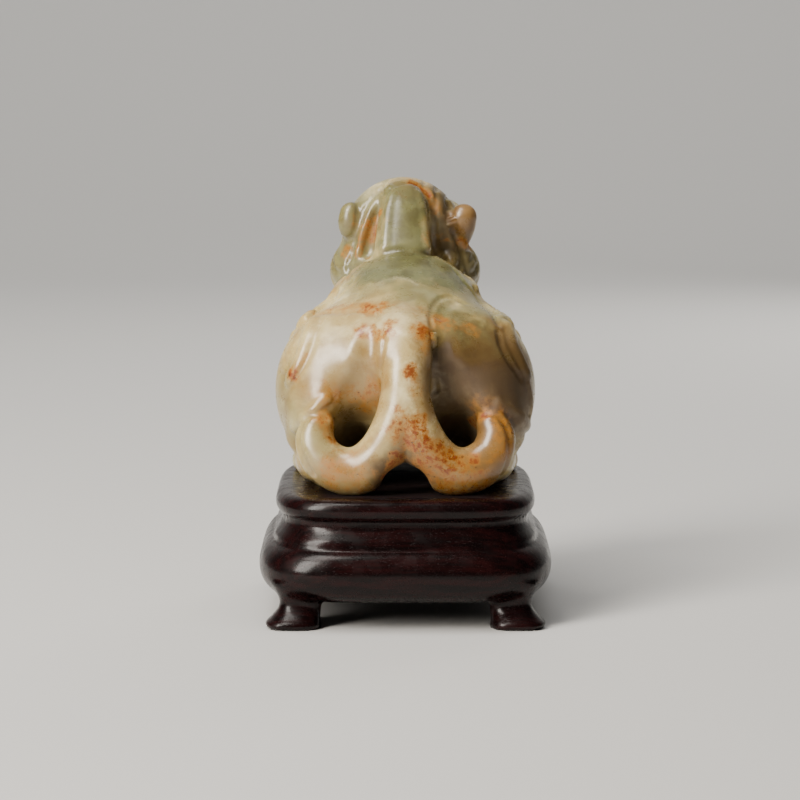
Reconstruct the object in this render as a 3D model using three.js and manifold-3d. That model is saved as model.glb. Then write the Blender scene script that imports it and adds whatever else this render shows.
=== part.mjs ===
// A mythical beast carved from one piece of jade, crouching on its carved wooden stand.
// Millimetres, +Z up. The origin is on the ground under the middle of the stand, and the beast faces +Y.
import * as THREE from "three";
import Module from "manifold-3d";
import { mergeVertices } from "three/addons/utils/BufferGeometryUtils.js";

// Driving dimensions.
const STAND_HEIGHT = 21.3;
const RIM_HALF = [21.8, 27.5]; // half width and half length of the stand's top
const PLAN_POWER = 4.5; // how square the stand is in plan
const BEAST_HEIGHT = 50.5; // the beast's forms are worked out for this height, from its soles to its crown
const FRONT = 28; // where its forepaws end
const SHORTENING = 0.9; // from there back it is this much shorter than its forms are drawn
const SKIN_CELL = 2; // size of the facets on the body
const HEAD_CELL = 1.7; // and on the head, which has more detail
const SEAT_GAP = 0.02; // the soles rest on the stand

// Signed distances to simple forms, negative inside. A point is [x, y, z].
// Each form knows a sphere that holds it.
function ellipsoid([cx, cy, cz], [rx, ry, rz]) {
  const distance = ([x, y, z]) => {
    const [ux, uy, uz] = [(x - cx) / rx, (y - cy) / ry, (z - cz) / rz];
    const whole = Math.sqrt(ux * ux + uy * uy + uz * uz);
    const slope = Math.sqrt((ux / rx) ** 2 + (uy / ry) ** 2 + (uz / rz) ** 2);
    return slope === 0 ? -Math.min(rx, ry, rz) : (whole * (whole - 1)) / slope;
  };
  return { distance, centre: [cx, cy, cz], radius: Math.max(rx, ry, rz) };
}

// A limb swells and thins along a smooth line through its stations [x, y, z, radius].
// It can be flattened along one direction, to `flat` of its thickness.
function limb(stations, flat = 1, direction = [0, 1, 0]) {
  const line = new THREE.CatmullRomCurve3(
    stations.map(([x, y, z]) => new THREE.Vector3(x, y, z)), false, "catmullrom", 0.5);
  const steps = (stations.length - 1) * 4;
  const spots = Array.from({ length: steps + 1 }, (_, i) => {
    const along = (i / steps) * (stations.length - 1);
    const from = Math.min(Math.floor(along), stations.length - 2);
    const radius = THREE.MathUtils.lerp(stations[from][3], stations[from + 1][3], along - from);
    return [...line.getPoint(i / steps).toArray(), radius];
  });
  const across = new THREE.Vector3(...direction).normalize().toArray();
  const swell = 1 / flat - 1;
  const hold = new THREE.Box3().setFromPoints(line.getPoints(steps)).getBoundingSphere(new THREE.Sphere());
  const distance = ([x, y, z]) => {
    let nearest = Infinity;
    for (let i = 0; i < steps; i++) {
      const [ax, ay, az, ar] = spots[i];
      const [bx, by, bz, br] = spots[i + 1];
      const [dx, dy, dz] = [bx - ax, by - ay, bz - az];
      const part = ((x - ax) * dx + (y - ay) * dy + (z - az) * dz) / (dx * dx + dy * dy + dz * dz);
      const t = Math.min(1, Math.max(0, part));
      const [qx, qy, qz] = [x - ax - t * dx, y - ay - t * dy, z - az - t * dz];
      const lift = swell * (qx * across[0] + qy * across[1] + qz * across[2]);
      const [fx, fy, fz] = [qx + lift * across[0], qy + lift * across[1], qz + lift * across[2]];
      nearest = Math.min(nearest, Math.sqrt(fx * fx + fy * fy + fz * fz) - ar - t * (br - ar));
    }
    return nearest;
  };
  const thickest = Math.max(...stations.map(([, , , radius]) => radius));
  return { distance, centre: hold.center.toArray(), radius: hold.radius + thickest };
}

// The same form on the left and on the right of the beast.
const both = (form) => ({ ...form, twin: true });

function softMin(a, b, blend) {
  const near = Math.max(blend - Math.abs(a - b), 0) / blend;
  return Math.min(a, b) - (near * near * blend) / 4;
}

// The carving so far: forms are added to it and cut out of it in order, each with a soft seam.
class Carving {
  constructor() {
    this.work = [];
  }

  add(form, blend) {
    this.work.push({ ...form, blend, sign: 1 });
  }

  cut(form, blend) {
    this.work.push({ ...form, blend, sign: -1 });
  }

  distance([x, y, z]) {
    return this.drawn([x, FRONT + (y - FRONT) / SHORTENING, z]);
  }

  drawn([x, y, z]) {
    let d = 1e3;
    for (const { distance, centre, radius, twin, blend, sign } of this.work) {
      const side = twin ? Math.abs(x) : x;
      const [dx, dy, dz] = [side - centre[0], y - centre[1], z - centre[2]];
      const away = Math.sqrt(dx * dx + dy * dy + dz * dz) - radius;
      if (away > sign * d + blend) continue; // too far off to touch the surface here
      d = sign * softMin(sign * d, distance([side, y, z]), blend);
    }
    return d;
  }

  // How far out the flank is at that place along the body and that height.
  flank(y, z) {
    let [inside, outside] = [0, 30];
    while (outside - inside > 0.01) {
      const middle = (inside + outside) / 2;
      if (this.drawn([middle, y, z]) < 0) inside = middle;
      else outside = middle;
    }
    return inside;
  }
}

function carveTorso(jade) {
  jade.add(ellipsoid([0, 4, 19.5], [14.4, 15, 16.4]), 1); // chest
  jade.add(ellipsoid([0, -8, 18], [12, 13, 12.4]), 6); // loins
  jade.add(ellipsoid([0, 14, 15.5], [12, 10.5, 13.5]), 6); // breast
  const back = [[0, -15, 23.2, 11.2], [0, -6, 26.4, 12.2], [0, 2, 29.2, 12.4], [0, 6, 29, 12]];
  jade.add(limb(back, 0.62, [0, 0, 1]), 5);
  jade.add(limb([[0, 8, 31, 8], [0, 15, 35, 8.4]]), 4); // neck
  jade.add(ellipsoid([0, 18.5, 26], [8.4, 6.6, 9]), 3); // throat
}

function carveHindLegs(jade) {
  jade.add(both(ellipsoid([10.9, -10, 16], [11, 12.8, 13.6])), 4); // haunch
  jade.add(both(ellipsoid([14.9, 3, 11.2], [4.9, 8.5, 9])), 2.5); // knee
  const shank = [[14, -15, 5.2, 4.4], [14.8, -9, 4, 3.9], [15, 0, 3, 3.4], [15.4, 8, 2.5, 3.3]];
  jade.add(both(limb(shank)), 1.5);
  for (const spread of [-1, 0, 1]) {
    const toe = [15.6 + 2.4 * spread, 11.4 - 0.9 * spread * spread, 1.7];
    jade.add(both(ellipsoid(toe, [1.7, 3.2, 2.1])), 0.6);
  }
}

function carveForelegs(jade) {
  jade.add(both(ellipsoid([10.3, 13, 17], [6, 8, 11])), 3); // shoulder
  jade.add(both(limb([[11.6, 14, 9, 4.8], [10.8, 19, 5, 4.2], [9.6, 23, 3.4, 3.8]])), 1.5);
  for (const spread of [-1, 0, 1]) {
    const toe = [9.4 + 2.7 * spread, 26 - 0.8 * spread * spread, 1.9];
    jade.add(both(ellipsoid(toe, [1.8, 3.2, 2.3])), 0.6);
  }
}

// The rump is hollowed on both sides of the tail before the tail is added. The tail parts in two above
// the stand, and each end curls up against the haunch, under the heel.
function carveTail(jade) {
  const groove = [[6, -19.5, 30.5, 0.8], [6.2, -23, 27, 1.6], [6.6, -24.6, 22.5, 2], [7.4, -24.6, 17.5, 2.2]];
  jade.cut(both(limb(groove)), 2);
  const pocket = [[7.6, -25.4, 17.5, 1.6], [8.4, -23.2, 12.6, 3.2], [8.5, -19.6, 9, 3.9], [7.4, -14, 5, 3]];
  jade.cut(both(limb(pocket)), 4.5);
  const heel = [[17.8, -15.6, 8.6, 1.9], [16.8, -18.2, 12.6, 2.1], [14, -20, 14.8, 1.9]];
  jade.add(both(limb(heel)), 2.4);
  const trunk = [[0, -12, 26.5, 3.4], [0, -19.4, 26, 4], [0, -23.8, 21, 4], [0, -25.4, 14.6, 4],
    [0, -25.4, 12, 3.9]];
  jade.add(limb(trunk), 1.4);
  const curl = [[0.8, -25.4, 14.6, 3.6], [1.8, -25.8, 10.6, 4], [4, -25.6, 6.7, 4.1], [7.2, -25, 4.15, 4.1],
    [10.8, -24.4, 4.05, 3.9], [13.8, -23.6, 6, 3.6], [15, -22.8, 9, 3.2], [14.4, -22, 11.4, 2.6]];
  jade.add(both(limb(curl)), 1.1);
  const hollow = [[0, -33, 1.1, 4.2], [0, -24, 1, 4], [0, -15, 1.2, 3.4], [0, -7, 0.6, 2.4]];
  jade.cut(limb(hollow), 1.2); // under the rump
}

// Feathers lie along the flank from the shoulder back to the haunch, and each ends in a rounded tip.
function carveWings(jade) {
  const feathers = [
    { from: [9, 33.4], over: [0, 30.4], tip: [-9, 26.8], width: 1.3 },
    { from: [10.5, 30], over: [3, 27.2], tip: [-4, 23.8], width: 1.9 },
    { from: [12, 25.6], over: [5.5, 22.6], tip: [-0.5, 19], width: 1.9 },
  ];
  const laid = feathers.map(({ from, over, tip, width }) =>
    limb([[...from, 0.8], [...over, 1], [...tip, 1.2]].map(([y, z, part]) =>
      [jade.flank(y, z) - 0.8, y, z, width * part])));
  for (const feather of laid) jade.add(both(feather), 1.2);
}

function carveHead(jade) {
  jade.add(ellipsoid([-0.3, 18.5, 39.3], [10.8, 9.8, 11.3]), 2.5); // skull
  jade.add(both(ellipsoid([7.6, 18.5, 34.2], [5.6, 6.4, 5.8])), 1.2); // jowl
  jade.cut(limb([[-7, 8, 46, 1.6], [-7.2, 8.6, 42.8, 2.4], [-7, 9, 38.6, 2.6]]), 2); // hollows of the nape
  jade.cut(limb([[6.2, 9, 46.6, 2], [6.6, 8.8, 42.8, 3.2], [6.8, 9.2, 38.4, 3.6]]), 1.2);
  jade.add(limb([[-9.2, 15, 41, 2], [-9.4, 14.6, 42.8, 2.3], [-9.4, 14.4, 44.4, 2]]), 0.9); // ears
  jade.add(limb([[9.8, 15, 40, 1.6], [10, 14.6, 42, 2.2], [10.2, 14.4, 43.8, 2.3]]), 0.9);
  const mane = [[-0.5, 15, 47.4, 3.1], [-0.5, 10.8, 45.4, 3.8], [-0.5, 7.6, 41.4, 4.2], [-0.4, 5, 36.6, 4.9]];
  jade.add(limb(mane, 0.75, [0, -0.85, 0.5]), 0.8);
}

function carveFace(jade) {
  jade.add(ellipsoid([0, 24, 35], [8, 5.4, 5.4]), 1.5); // muzzle
  jade.add(ellipsoid([0, 24.2, 29], [6.6, 5.4, 3.4]), 1); // lower jaw
  jade.add(both(ellipsoid([3.6, 27, 35], [3.9, 3, 3.2])), 1); // upper lip
  jade.add(limb([[0, 26.8, 40, 2.4], [0, 25.4, 43.6, 2.4], [0, 23.4, 45.6, 2]]), 1.5); // bridge of the nose
  jade.add(ellipsoid([0, 28.2, 38.6], [3.8, 2, 1.9]), 0.6); // nose
  jade.add(both(ellipsoid([5.6, 24.8, 41.4], [2.9, 2.6, 2.7])), 0.5); // eye
  const brow = [[2.6, 25.6, 44, 1.4], [6, 24.4, 45, 1.8], [8.8, 21, 44, 1.7], [9.6, 18, 42.4, 1.4]];
  jade.add(both(limb(brow)), 0.7);
  const mouth = [[7.9, 25.2, 33.2, 0.9], [4.6, 28.8, 31.6, 1.3], [0, 30.2, 32, 1.3]];
  jade.cut(both(limb(mouth)), 0.6);
  for (const side of [-1, 0, 1]) {
    const lock = [[3.2 * side, 25.2, 26.6, 2.6], [4.2 * side, 25, 22.6, 2.3], [4.6 * side, 24.2, 18.6, 1.6]];
    jade.add(limb(lock), 0.8); // beard
  }
}

function carveBeast() {
  const jade = new Carving();
  carveTorso(jade);
  carveHindLegs(jade);
  carveForelegs(jade);
  carveTail(jade);
  carveWings(jade);
  carveHead(jade);
  carveFace(jade);
  return jade;
}

// Grid lines from low to high whose spacing follows a rule.
function gridLines(low, high, spacingAt) {
  const lines = [low];
  while (lines.at(-1) < high) lines.push(lines.at(-1) + spacingAt(lines.at(-1)));
  return lines;
}

// A closed skin of facets round a carving. Each grid cell that the surface crosses gets one vertex, and
// each grid edge that it crosses gets one four-sided facet, cut in two. The lowest layer of vertices is
// laid flat on the ground.
function skin(carving, [xs, ys, zs], rounds) {
  const [nx, ny, nz] = [xs.length, ys.length, zs.length];
  const node = (i, j, k) => i + nx * (j + ny * k);
  const values = new Float64Array(nx * ny * nz);
  for (let k = 0; k < nz; k++)
    for (let j = 0; j < ny; j++)
      for (let i = 0; i < nx; i++) {
        const underground = k === 0 ? 1 : -Infinity;
        values[node(i, j, k)] = Math.max(underground, carving.distance([xs[i], ys[j], zs[k]]));
      }
  mend(values, [nx, ny, nz], node);
  const vertices = [];
  const flat = [];
  const cellVertex = new Map();
  const corners = Array.from({ length: 8 }, (_, c) => [c & 1, (c >> 1) & 1, c >> 2]);
  for (let k = 0; k < nz - 1; k++)
    for (let j = 0; j < ny - 1; j++)
      for (let i = 0; i < nx - 1; i++) {
        const inside = corners.filter(([a, b, c]) => values[node(i + a, j + b, k + c)] < 0).length;
        if (inside === 0 || inside === 8) continue;
        cellVertex.set(node(i, j, k), vertices.length);
        vertices.push([(xs[i] + xs[i + 1]) / 2, (ys[j] + ys[j + 1]) / 2, (zs[k] + zs[k + 1]) / 2]);
        flat.push(k === 0);
      }
  const triangles = [];
  const strides = [[1, 0, 0], [0, 1, 0], [0, 0, 1]];
  for (let k = 1; k < nz - 1; k++)
    for (let j = 1; j < ny - 1; j++)
      for (let i = 1; i < nx - 1; i++) addFacets(i, j, k);
  for (let j = 1; j < ny - 1; j++) for (let i = 1; i < nx - 1; i++) addFacets(i, j, 0);

  function addFacets(i, j, k) {
    strides.forEach(([a, b, c], axis) => {
      if (k === 0 && axis < 2) return;
      const here = values[node(i, j, k)] < 0;
      if (here === values[node(i + a, j + b, k + c)] < 0) return;
      const [u, v] = [strides[(axis + 1) % 3], strides[(axis + 2) % 3]];
      const cell = (s, t) =>
        cellVertex.get(node(i - s * u[0] - t * v[0], j - s * u[1] - t * v[1], k - s * u[2] - t * v[2]));
      const ring = [cell(1, 1), cell(0, 1), cell(0, 0), cell(1, 0)];
      const [p, q, r, s] = here ? ring : ring.toReversed();
      triangles.push([p, q, r], [p, r, s]);
    });
  }

  relax(carving, vertices, flat, triangles, rounds);
  const geometry = new THREE.BufferGeometry();
  geometry.setAttribute("position", new THREE.Float32BufferAttribute(vertices.flat(), 3));
  geometry.setIndex(triangles.flat());
  return geometry;
}

// Two parts of a solid that meet only at an edge or a corner of the grid are joined there, so that no
// facets touch back to back.
function mend(values, [nx, ny, nz], node) {
  const within = (spot) => values[spot] < 0;
  const join = (spots) => {
    const outside = spots.filter((spot) => !within(spot) && values[spot] < 1);
    outside.sort((a, b) => values[a] - values[b]);
    if (outside.length) values[outside[0]] = -1e-3;
    return outside.length > 0;
  };
  let joined = true;
  while (joined) {
    joined = false;
    for (let k = 1; k < nz - 1; k++)
      for (let j = 0; j < ny - 1; j++)
        for (let i = 0; i < nx - 1; i++) {
          const at = (a, b, c) => node(i + a, j + b, k + c);
          const squares = [
            [at(0, 0, 0), at(1, 0, 0), at(1, 1, 0), at(0, 1, 0)],
            [at(0, 0, 0), at(1, 0, 0), at(1, 0, 1), at(0, 0, 1)],
            [at(0, 0, 0), at(0, 1, 0), at(0, 1, 1), at(0, 0, 1)],
          ];
          for (const [p, q, r, s] of squares)
            if (within(p) === within(r) && within(q) === within(s) && within(p) !== within(q))
              joined = join([p, q, r, s]) || joined;
          const cube = Array.from({ length: 8 }, (_, c) => at(c & 1, (c >> 1) & 1, c >> 2));
          for (let c = 0; c < 4; c++) {
            const pair = [cube[c], cube[7 - c]];
            const rest = cube.filter((spot) => !pair.includes(spot));
            if (within(pair[0]) === within(pair[1]) && rest.every((spot) => within(spot) !== within(pair[0])))
              joined = join(cube) || joined;
          }
        }
  }
}

// Evens out the vertices along the surface and pulls each one on to it.
function relax(carving, vertices, flat, triangles, rounds) {
  const neighbours = vertices.map(() => new Set());
  for (const [a, b, c] of triangles) {
    neighbours[a].add(b).add(c);
    neighbours[b].add(a).add(c);
    neighbours[c].add(a).add(b);
  }
  const reach = 0.45; // wide enough to see past creases that are finer than a facet
  for (let round = 0; round < rounds; round++) {
    const moved = vertices.map((p, v) => {
      const around = [...neighbours[v]].map((n) => vertices[n]);
      const even = [0, 1, 2].map((a) => around.reduce((sum, n) => sum + n[a], 0) / around.length);
      let spot = [0, 1, 2].map((a) => p[a] + 0.5 * (even[a] - p[a]));
      if (flat[v]) spot[2] = 0;
      for (let pull = 0; pull < 2; pull++) {
        const d = carving.distance(spot);
        if (flat[v] && d < 0) break; // inside the sole
        const slope = [0, 1, 2].map((a) => {
          const [ahead, behind] = [[...spot], [...spot]];
          ahead[a] += reach;
          behind[a] -= reach;
          return (carving.distance(ahead) - carving.distance(behind)) / (2 * reach);
        });
        if (flat[v]) slope[2] = 0;
        const steepness = Math.max(0.4, slope.reduce((sum, s) => sum + s * s, 0));
        const step = Math.min(0.7, Math.max(-0.7, d / steepness));
        spot = spot.map((s, a) => s - step * slope[a]);
      }
      return spot;
    });
    moved.forEach((p, v) => (vertices[v] = p));
  }
}

// Half width of the stand's outline in the direction of an angle, for an outline grown by so much all round.
function planPoint(angle, grow) {
  const [a, b] = RIM_HALF.map((half) => half + grow);
  const [c, s] = [Math.cos(angle), Math.sin(angle)];
  const reach = (Math.abs(c / a) ** PLAN_POWER + Math.abs(s / b) ** PLAN_POWER) ** (-1 / PLAN_POWER);
  return [reach * c, reach * s];
}

// The stand's body: one profile swept round the outline, from the middle of its underside to the middle
// of its top.
function standBody() {
  const apron = 4.4; // height of the open space under the stand
  const ceiling = 7.6; // underside of the top, inside the apron
  const bead = 19.4; // middle of the rounded rim
  const profile = [
    [-3.4, ceiling],
    [-3, apron],
    [-0.8, apron],
    ...arc(-1.2, 9, 4, 4.5, -72, 66, 8), // belly
    [0.2, 14.4],
    [-1, 16.1],
    ...arc(-1.9, bead, 1.9, 1.9, -66, 90, 7), // rim
  ];
  const segments = 44;
  const outline = (angle, [grow]) => planPoint(angle, grow);
  const heights = profile.map(([, z]) => z);
  return loft(profile, heights, segments, (s) => segmentAngle(s, segments), outline, [0, 0]);
}

// A closed solid through rings of points, one over the other, capped below and above with fans.
function loft(rings, heights, sides, angleAt, outline, middle) {
  const positions = [];
  rings.forEach((ring, r) => {
    for (let s = 0; s < sides; s++) positions.push(...outline(angleAt(s), ring), heights[r]);
  });
  const [below, above] = [rings.length * sides, rings.length * sides + 1];
  positions.push(...middle, heights[0], ...middle, heights.at(-1));
  const index = [];
  for (let s = 0; s < sides; s++) {
    const next = (s + 1) % sides;
    const top = (rings.length - 1) * sides;
    index.push(below, next, s, above, top + s, top + next);
    for (let r = 0; r < rings.length - 1; r++) {
      const [low, high] = [r * sides, (r + 1) * sides];
      index.push(low + s, low + next, high + next, low + s, high + next, high + s);
    }
  }
  const geometry = new THREE.BufferGeometry();
  geometry.setAttribute("position", new THREE.Float32BufferAttribute(positions, 3));
  geometry.setIndex(index);
  return geometry;
}

// Angles bunch towards the four corners of the outline, where it turns most.
function segmentAngle(s, segments) {
  const even = ((s + 0.5) / segments) * 2 * Math.PI;
  return even + 0.16 * Math.sin(4 * even);
}

// Points of a quarter-round or longer moulding, as growth outwards and height.
function arc(grow, z, width, height, from, to, count) {
  return Array.from({ length: count }, (_, i) => {
    const turn = THREE.MathUtils.degToRad(from + ((to - from) * i) / (count - 1));
    return [grow + width * Math.cos(turn), z + height * Math.sin(turn)];
  });
}

// One curved foot under the corner at +X +Y: it leaves the belly, narrows to an ankle and flares to a toe.
function standFoot() {
  const sections = [
    { z: 0, out: 18.2, half: 4.4 },
    { z: 0.8, out: 18.5, half: 4.5 },
    { z: 1.8, out: 18, half: 4 },
    { z: 3.2, out: 17.4, half: 3.5 },
    { z: 5, out: 17.2, half: 3.6 },
    { z: 7.4, out: 17.4, half: 4.4 },
  ];
  const corner = RIM_HALF[1] - RIM_HALF[0];
  const squareness = 2.8;
  const outline = (angle, { out, half }) => {
    const [c, s] = [Math.cos(angle), Math.sin(angle)];
    const reach = half * (Math.abs(c) ** squareness + Math.abs(s) ** squareness) ** (-1 / squareness);
    return [out + reach * c, out + corner + reach * s];
  };
  const middle = [sections[0].out, sections[0].out + corner];
  const sides = 16;
  return loft(sections, sections.map(({ z }) => z), sides, (s) => (s / sides) * 2 * Math.PI, outline, middle);
}

const wasm = await Module();
wasm.setup();

function toSolid(geometry) {
  const bare = geometry.clone();
  for (const name of Object.keys(bare.attributes)) if (name !== "position") bare.deleteAttribute(name);
  const merged = mergeVertices(bare, 1e-4);
  return new wasm.Manifold(new wasm.Mesh({
    numProp: 3,
    vertProperties: merged.attributes.position.array,
    triVerts: new Uint32Array(merged.index.array),
  }));
}

function toGeometry(solid) {
  const { vertProperties, triVerts } = solid.getMesh();
  const geometry = new THREE.BufferGeometry();
  geometry.setAttribute("position", new THREE.BufferAttribute(vertProperties, 3));
  geometry.setIndex(new THREE.BufferAttribute(triVerts, 1));
  geometry.computeVertexNormals();
  return geometry;
}

function makeStand() {
  let stand = toSolid(standBody());
  const foot = toSolid(standFoot());
  for (const turned of [foot, foot.mirror([1, 0, 0]), foot.mirror([0, 1, 0]), foot.rotate([0, 0, 180])])
    stand = stand.add(turned);
  const wood = new THREE.MeshStandardMaterial({ color: 0x2a0f0c, roughness: 0.28, metalness: 0 });
  const mesh = new THREE.Mesh(toGeometry(stand), wood);
  mesh.name = "wood_stand";
  return mesh;
}

function makeBeast() {
  const headStart = { y: 9, z: 27 };
  const across = gridLines(-25.4, 25, () => SKIN_CELL);
  const along = gridLines(-27.6, 33, (y) => (y < headStart.y ? SKIN_CELL : HEAD_CELL));
  const up = gridLines(-SKIN_CELL / 2, BEAST_HEIGHT + 2, (z) => (z < headStart.z ? SKIN_CELL : HEAD_CELL));
  const jade = new THREE.MeshStandardMaterial({ color: 0xb9b083, roughness: 0.22, metalness: 0 });
  const mesh = new THREE.Mesh(skin(carveBeast(), [across, along, up], 12), jade);
  mesh.name = "jade_beast";
  mesh.position.z = STAND_HEIGHT + SEAT_GAP;
  return mesh;
}

const carvingOnStand = new THREE.Group();
carvingOnStand.add(makeStand(), makeBeast());

export default carvingOnStand;
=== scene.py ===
"""A beast of jade crouches on its dark wooden stand, seen from behind.

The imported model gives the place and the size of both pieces. Each piece is carved anew over its solid
as a signed distance field, in millimetres, and skinned with small facets, so that its ridges, folds and
cut lines are real relief. The materials, the floor, the lights and the camera follow.
"""

from __future__ import annotations

import logging
import math
from abc import ABC, abstractmethod
from dataclasses import dataclass
from enum import Enum
from typing import Any, Sequence

import bpy
import numpy as np
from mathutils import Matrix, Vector

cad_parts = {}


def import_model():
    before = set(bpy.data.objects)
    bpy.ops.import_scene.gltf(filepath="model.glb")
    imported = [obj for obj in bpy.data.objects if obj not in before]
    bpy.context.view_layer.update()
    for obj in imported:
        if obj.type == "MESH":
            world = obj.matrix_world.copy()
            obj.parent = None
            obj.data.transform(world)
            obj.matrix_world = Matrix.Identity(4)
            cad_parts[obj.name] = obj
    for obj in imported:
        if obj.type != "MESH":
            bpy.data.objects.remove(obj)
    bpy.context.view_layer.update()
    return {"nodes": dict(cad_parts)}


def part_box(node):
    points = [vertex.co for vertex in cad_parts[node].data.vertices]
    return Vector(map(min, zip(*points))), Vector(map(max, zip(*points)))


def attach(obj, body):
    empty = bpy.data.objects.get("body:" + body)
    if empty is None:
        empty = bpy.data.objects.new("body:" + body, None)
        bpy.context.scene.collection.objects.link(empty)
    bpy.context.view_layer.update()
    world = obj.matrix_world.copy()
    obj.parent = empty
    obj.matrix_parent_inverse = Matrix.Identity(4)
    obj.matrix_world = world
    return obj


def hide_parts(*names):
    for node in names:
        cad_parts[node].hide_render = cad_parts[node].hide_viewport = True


log = logging.getLogger("scene")

MM = 0.001
Point = tuple[float, float, float]
Pair = tuple[float, float]
Colour = tuple[float, float, float]
Array = np.ndarray


class Form(ABC):
    """A solid given by its signed distance, negative inside, with a sphere that holds it."""

    centre: Array
    radius: float

    @abstractmethod
    def distance(self, points: Array) -> Array:
        """Signed distance of each point.

        Args:
            points: One row of x, y, z for each point, in millimetres.

        Returns:
            One distance for each point.
        """


class Ellipsoid(Form):
    """A rounded lump with its axes along the frame's."""

    def __init__(self, centre: Point, radii: Point) -> None:
        """Keeps the lump's place and half sizes.

        Args:
            centre: Its middle.
            radii: Half its size along each axis.
        """
        self.centre = np.array(centre, float)
        self.radii = np.array(radii, float)
        self.radius = float(self.radii.max())

    def distance(self, points: Array) -> Array:
        """Signed distance, true near the surface.

        Args:
            points: One row of x, y, z for each point.

        Returns:
            One distance for each point.
        """
        unit = (points - self.centre) / self.radii
        whole = np.sqrt((unit * unit).sum(1))
        slope = np.sqrt(((unit / self.radii) ** 2).sum(1))
        return whole * (whole - 1) / np.maximum(slope, 1e-9)


class Limb(Form):
    """A round or flattened bar that swells and thins along a smooth line through its stations."""

    def __init__(
        self,
        stations: Sequence[Sequence[float]],
        flat: float = 1.0,
        direction: Point = (0, 1, 0),
        steps: int = 6,
    ) -> None:
        """Lays the line.

        Args:
            stations: x, y, z and radius of each station.
            flat: Thickness along the direction, as a share of the full thickness.
            direction: The direction in which the limb is flattened.
            steps: Number of straight stretches from one station to the next.
        """
        marks = np.array(stations, float)
        along = np.arange((len(marks) - 1) * steps + 1) / steps
        first = np.minimum(along.astype(int), len(marks) - 2)
        smooth = self.smooth(marks, first, (along - first)[:, None])
        self.line, self.radii = smooth[:, :3], smooth[:, 3]
        across = np.array(direction, float)
        self.across = across / np.linalg.norm(across)
        self.swell = 1 / flat - 1
        self.centre = (self.line.min(0) + self.line.max(0)) / 2
        self.radius = float(np.linalg.norm(self.line - self.centre, axis=1).max() + self.radii.max())

    @staticmethod
    def smooth(spots: Array, first: Array, part: Array) -> Array:
        """Points of a Catmull-Rom curve through the stations, with their radii.

        Args:
            spots: The stations, one row each.
            first: Number of the station before each point.
            part: Share of the way from it to the next, as a column.

        Returns:
            One row for each point.
        """
        ends = np.vstack([2 * spots[0] - spots[1], spots, 2 * spots[-1] - spots[-2]])
        a, b, c, d = (ends[first + k] for k in range(4))
        bend = 2 * a - 5 * b + 4 * c - d
        turn = 3 * b - a - 3 * c + d
        return 0.5 * (2 * b + (c - a) * part + bend * part**2 + turn * part**3)

    def distance(self, points: Array) -> Array:
        """Signed distance to the nearest stretch of the limb.

        Args:
            points: One row of x, y, z for each point.

        Returns:
            One distance for each point.
        """
        nearest = np.full(len(points), np.inf)
        for start, end, thick, thin in zip(self.line[:-1], self.line[1:], self.radii[:-1], self.radii[1:]):
            span = end - start
            away = points - start
            share = np.clip(away @ span / (span @ span), 0, 1)
            away = away - share[:, None] * span
            if self.swell:
                away = away + (self.swell * (away @ self.across))[:, None] * self.across
            nearest = np.minimum(nearest, np.sqrt((away * away).sum(1)) - thick - share * (thin - thick))
        return nearest


def superellipse_growth(points: Array, half: Pair, power: float) -> Array:
    """How far a superellipse has to grow outwards all round to reach each point.

    Args:
        points: One row of x, y, ... for each point.
        half: The superellipse's half width and half length.
        power: How square it is.

    Returns:
        One growth for each point, negative inside.
    """
    x, y = np.abs(points[:, 0]), np.abs(points[:, 1])
    growth = np.maximum(x - half[0], y - half[1])
    for _ in range(8):
        a, b = half[0] + growth, half[1] + growth
        u, v = (x / a) ** power, (y / b) ** power
        slope = -power * (u / a + v / b)
        growth = np.maximum(growth - (u + v - 1) / np.minimum(slope, -1e-6), 3 - half[0])
    return growth


class Moulding(Form):
    """A closed profile of growth and height, swept round a superellipse."""

    def __init__(self, profile: Sequence[Pair], half: Pair, power: float) -> None:
        """Keeps the profile and the outline that it runs round.

        Args:
            profile: Growth over the outline and height of each corner of the profile.
            half: Half the outline's width and depth.
            power: Power of the superellipse.
        """
        self.profile = np.array(profile, float)
        self.half = half
        self.power = power
        low, high = self.profile.min(0), self.profile.max(0)
        self.centre = np.array([0, 0, (low[1] + high[1]) / 2])
        self.radius = float(np.hypot(half[0] + high[0], half[1] + high[0]) + high[1] - low[1])

    def distance(self, points: Array) -> Array:
        """Signed distance across the profile.

        Args:
            points: One row of x, y, z for each point.

        Returns:
            One distance for each point.
        """
        spots = np.stack([superellipse_growth(points, self.half, self.power), points[:, 2]], -1)
        nearest = np.full(len(points), np.inf)
        inside = np.zeros(len(points), bool)
        for start, end in zip(self.profile, np.roll(self.profile, -1, 0)):
            span = end - start
            away = spots - start
            share = np.clip(away @ span / (span @ span), 0, 1)
            gap = away - share[:, None] * span
            nearest = np.minimum(nearest, (gap * gap).sum(1))
            crosses = (start[1] > spots[:, 1]) != (end[1] > spots[:, 1])
            rise = span[1] if span[1] else 1e-9
            inside ^= crosses & (away[:, 0] < span[0] * away[:, 1] / rise)
        return np.where(inside, -1, 1) * np.sqrt(nearest)


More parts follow.
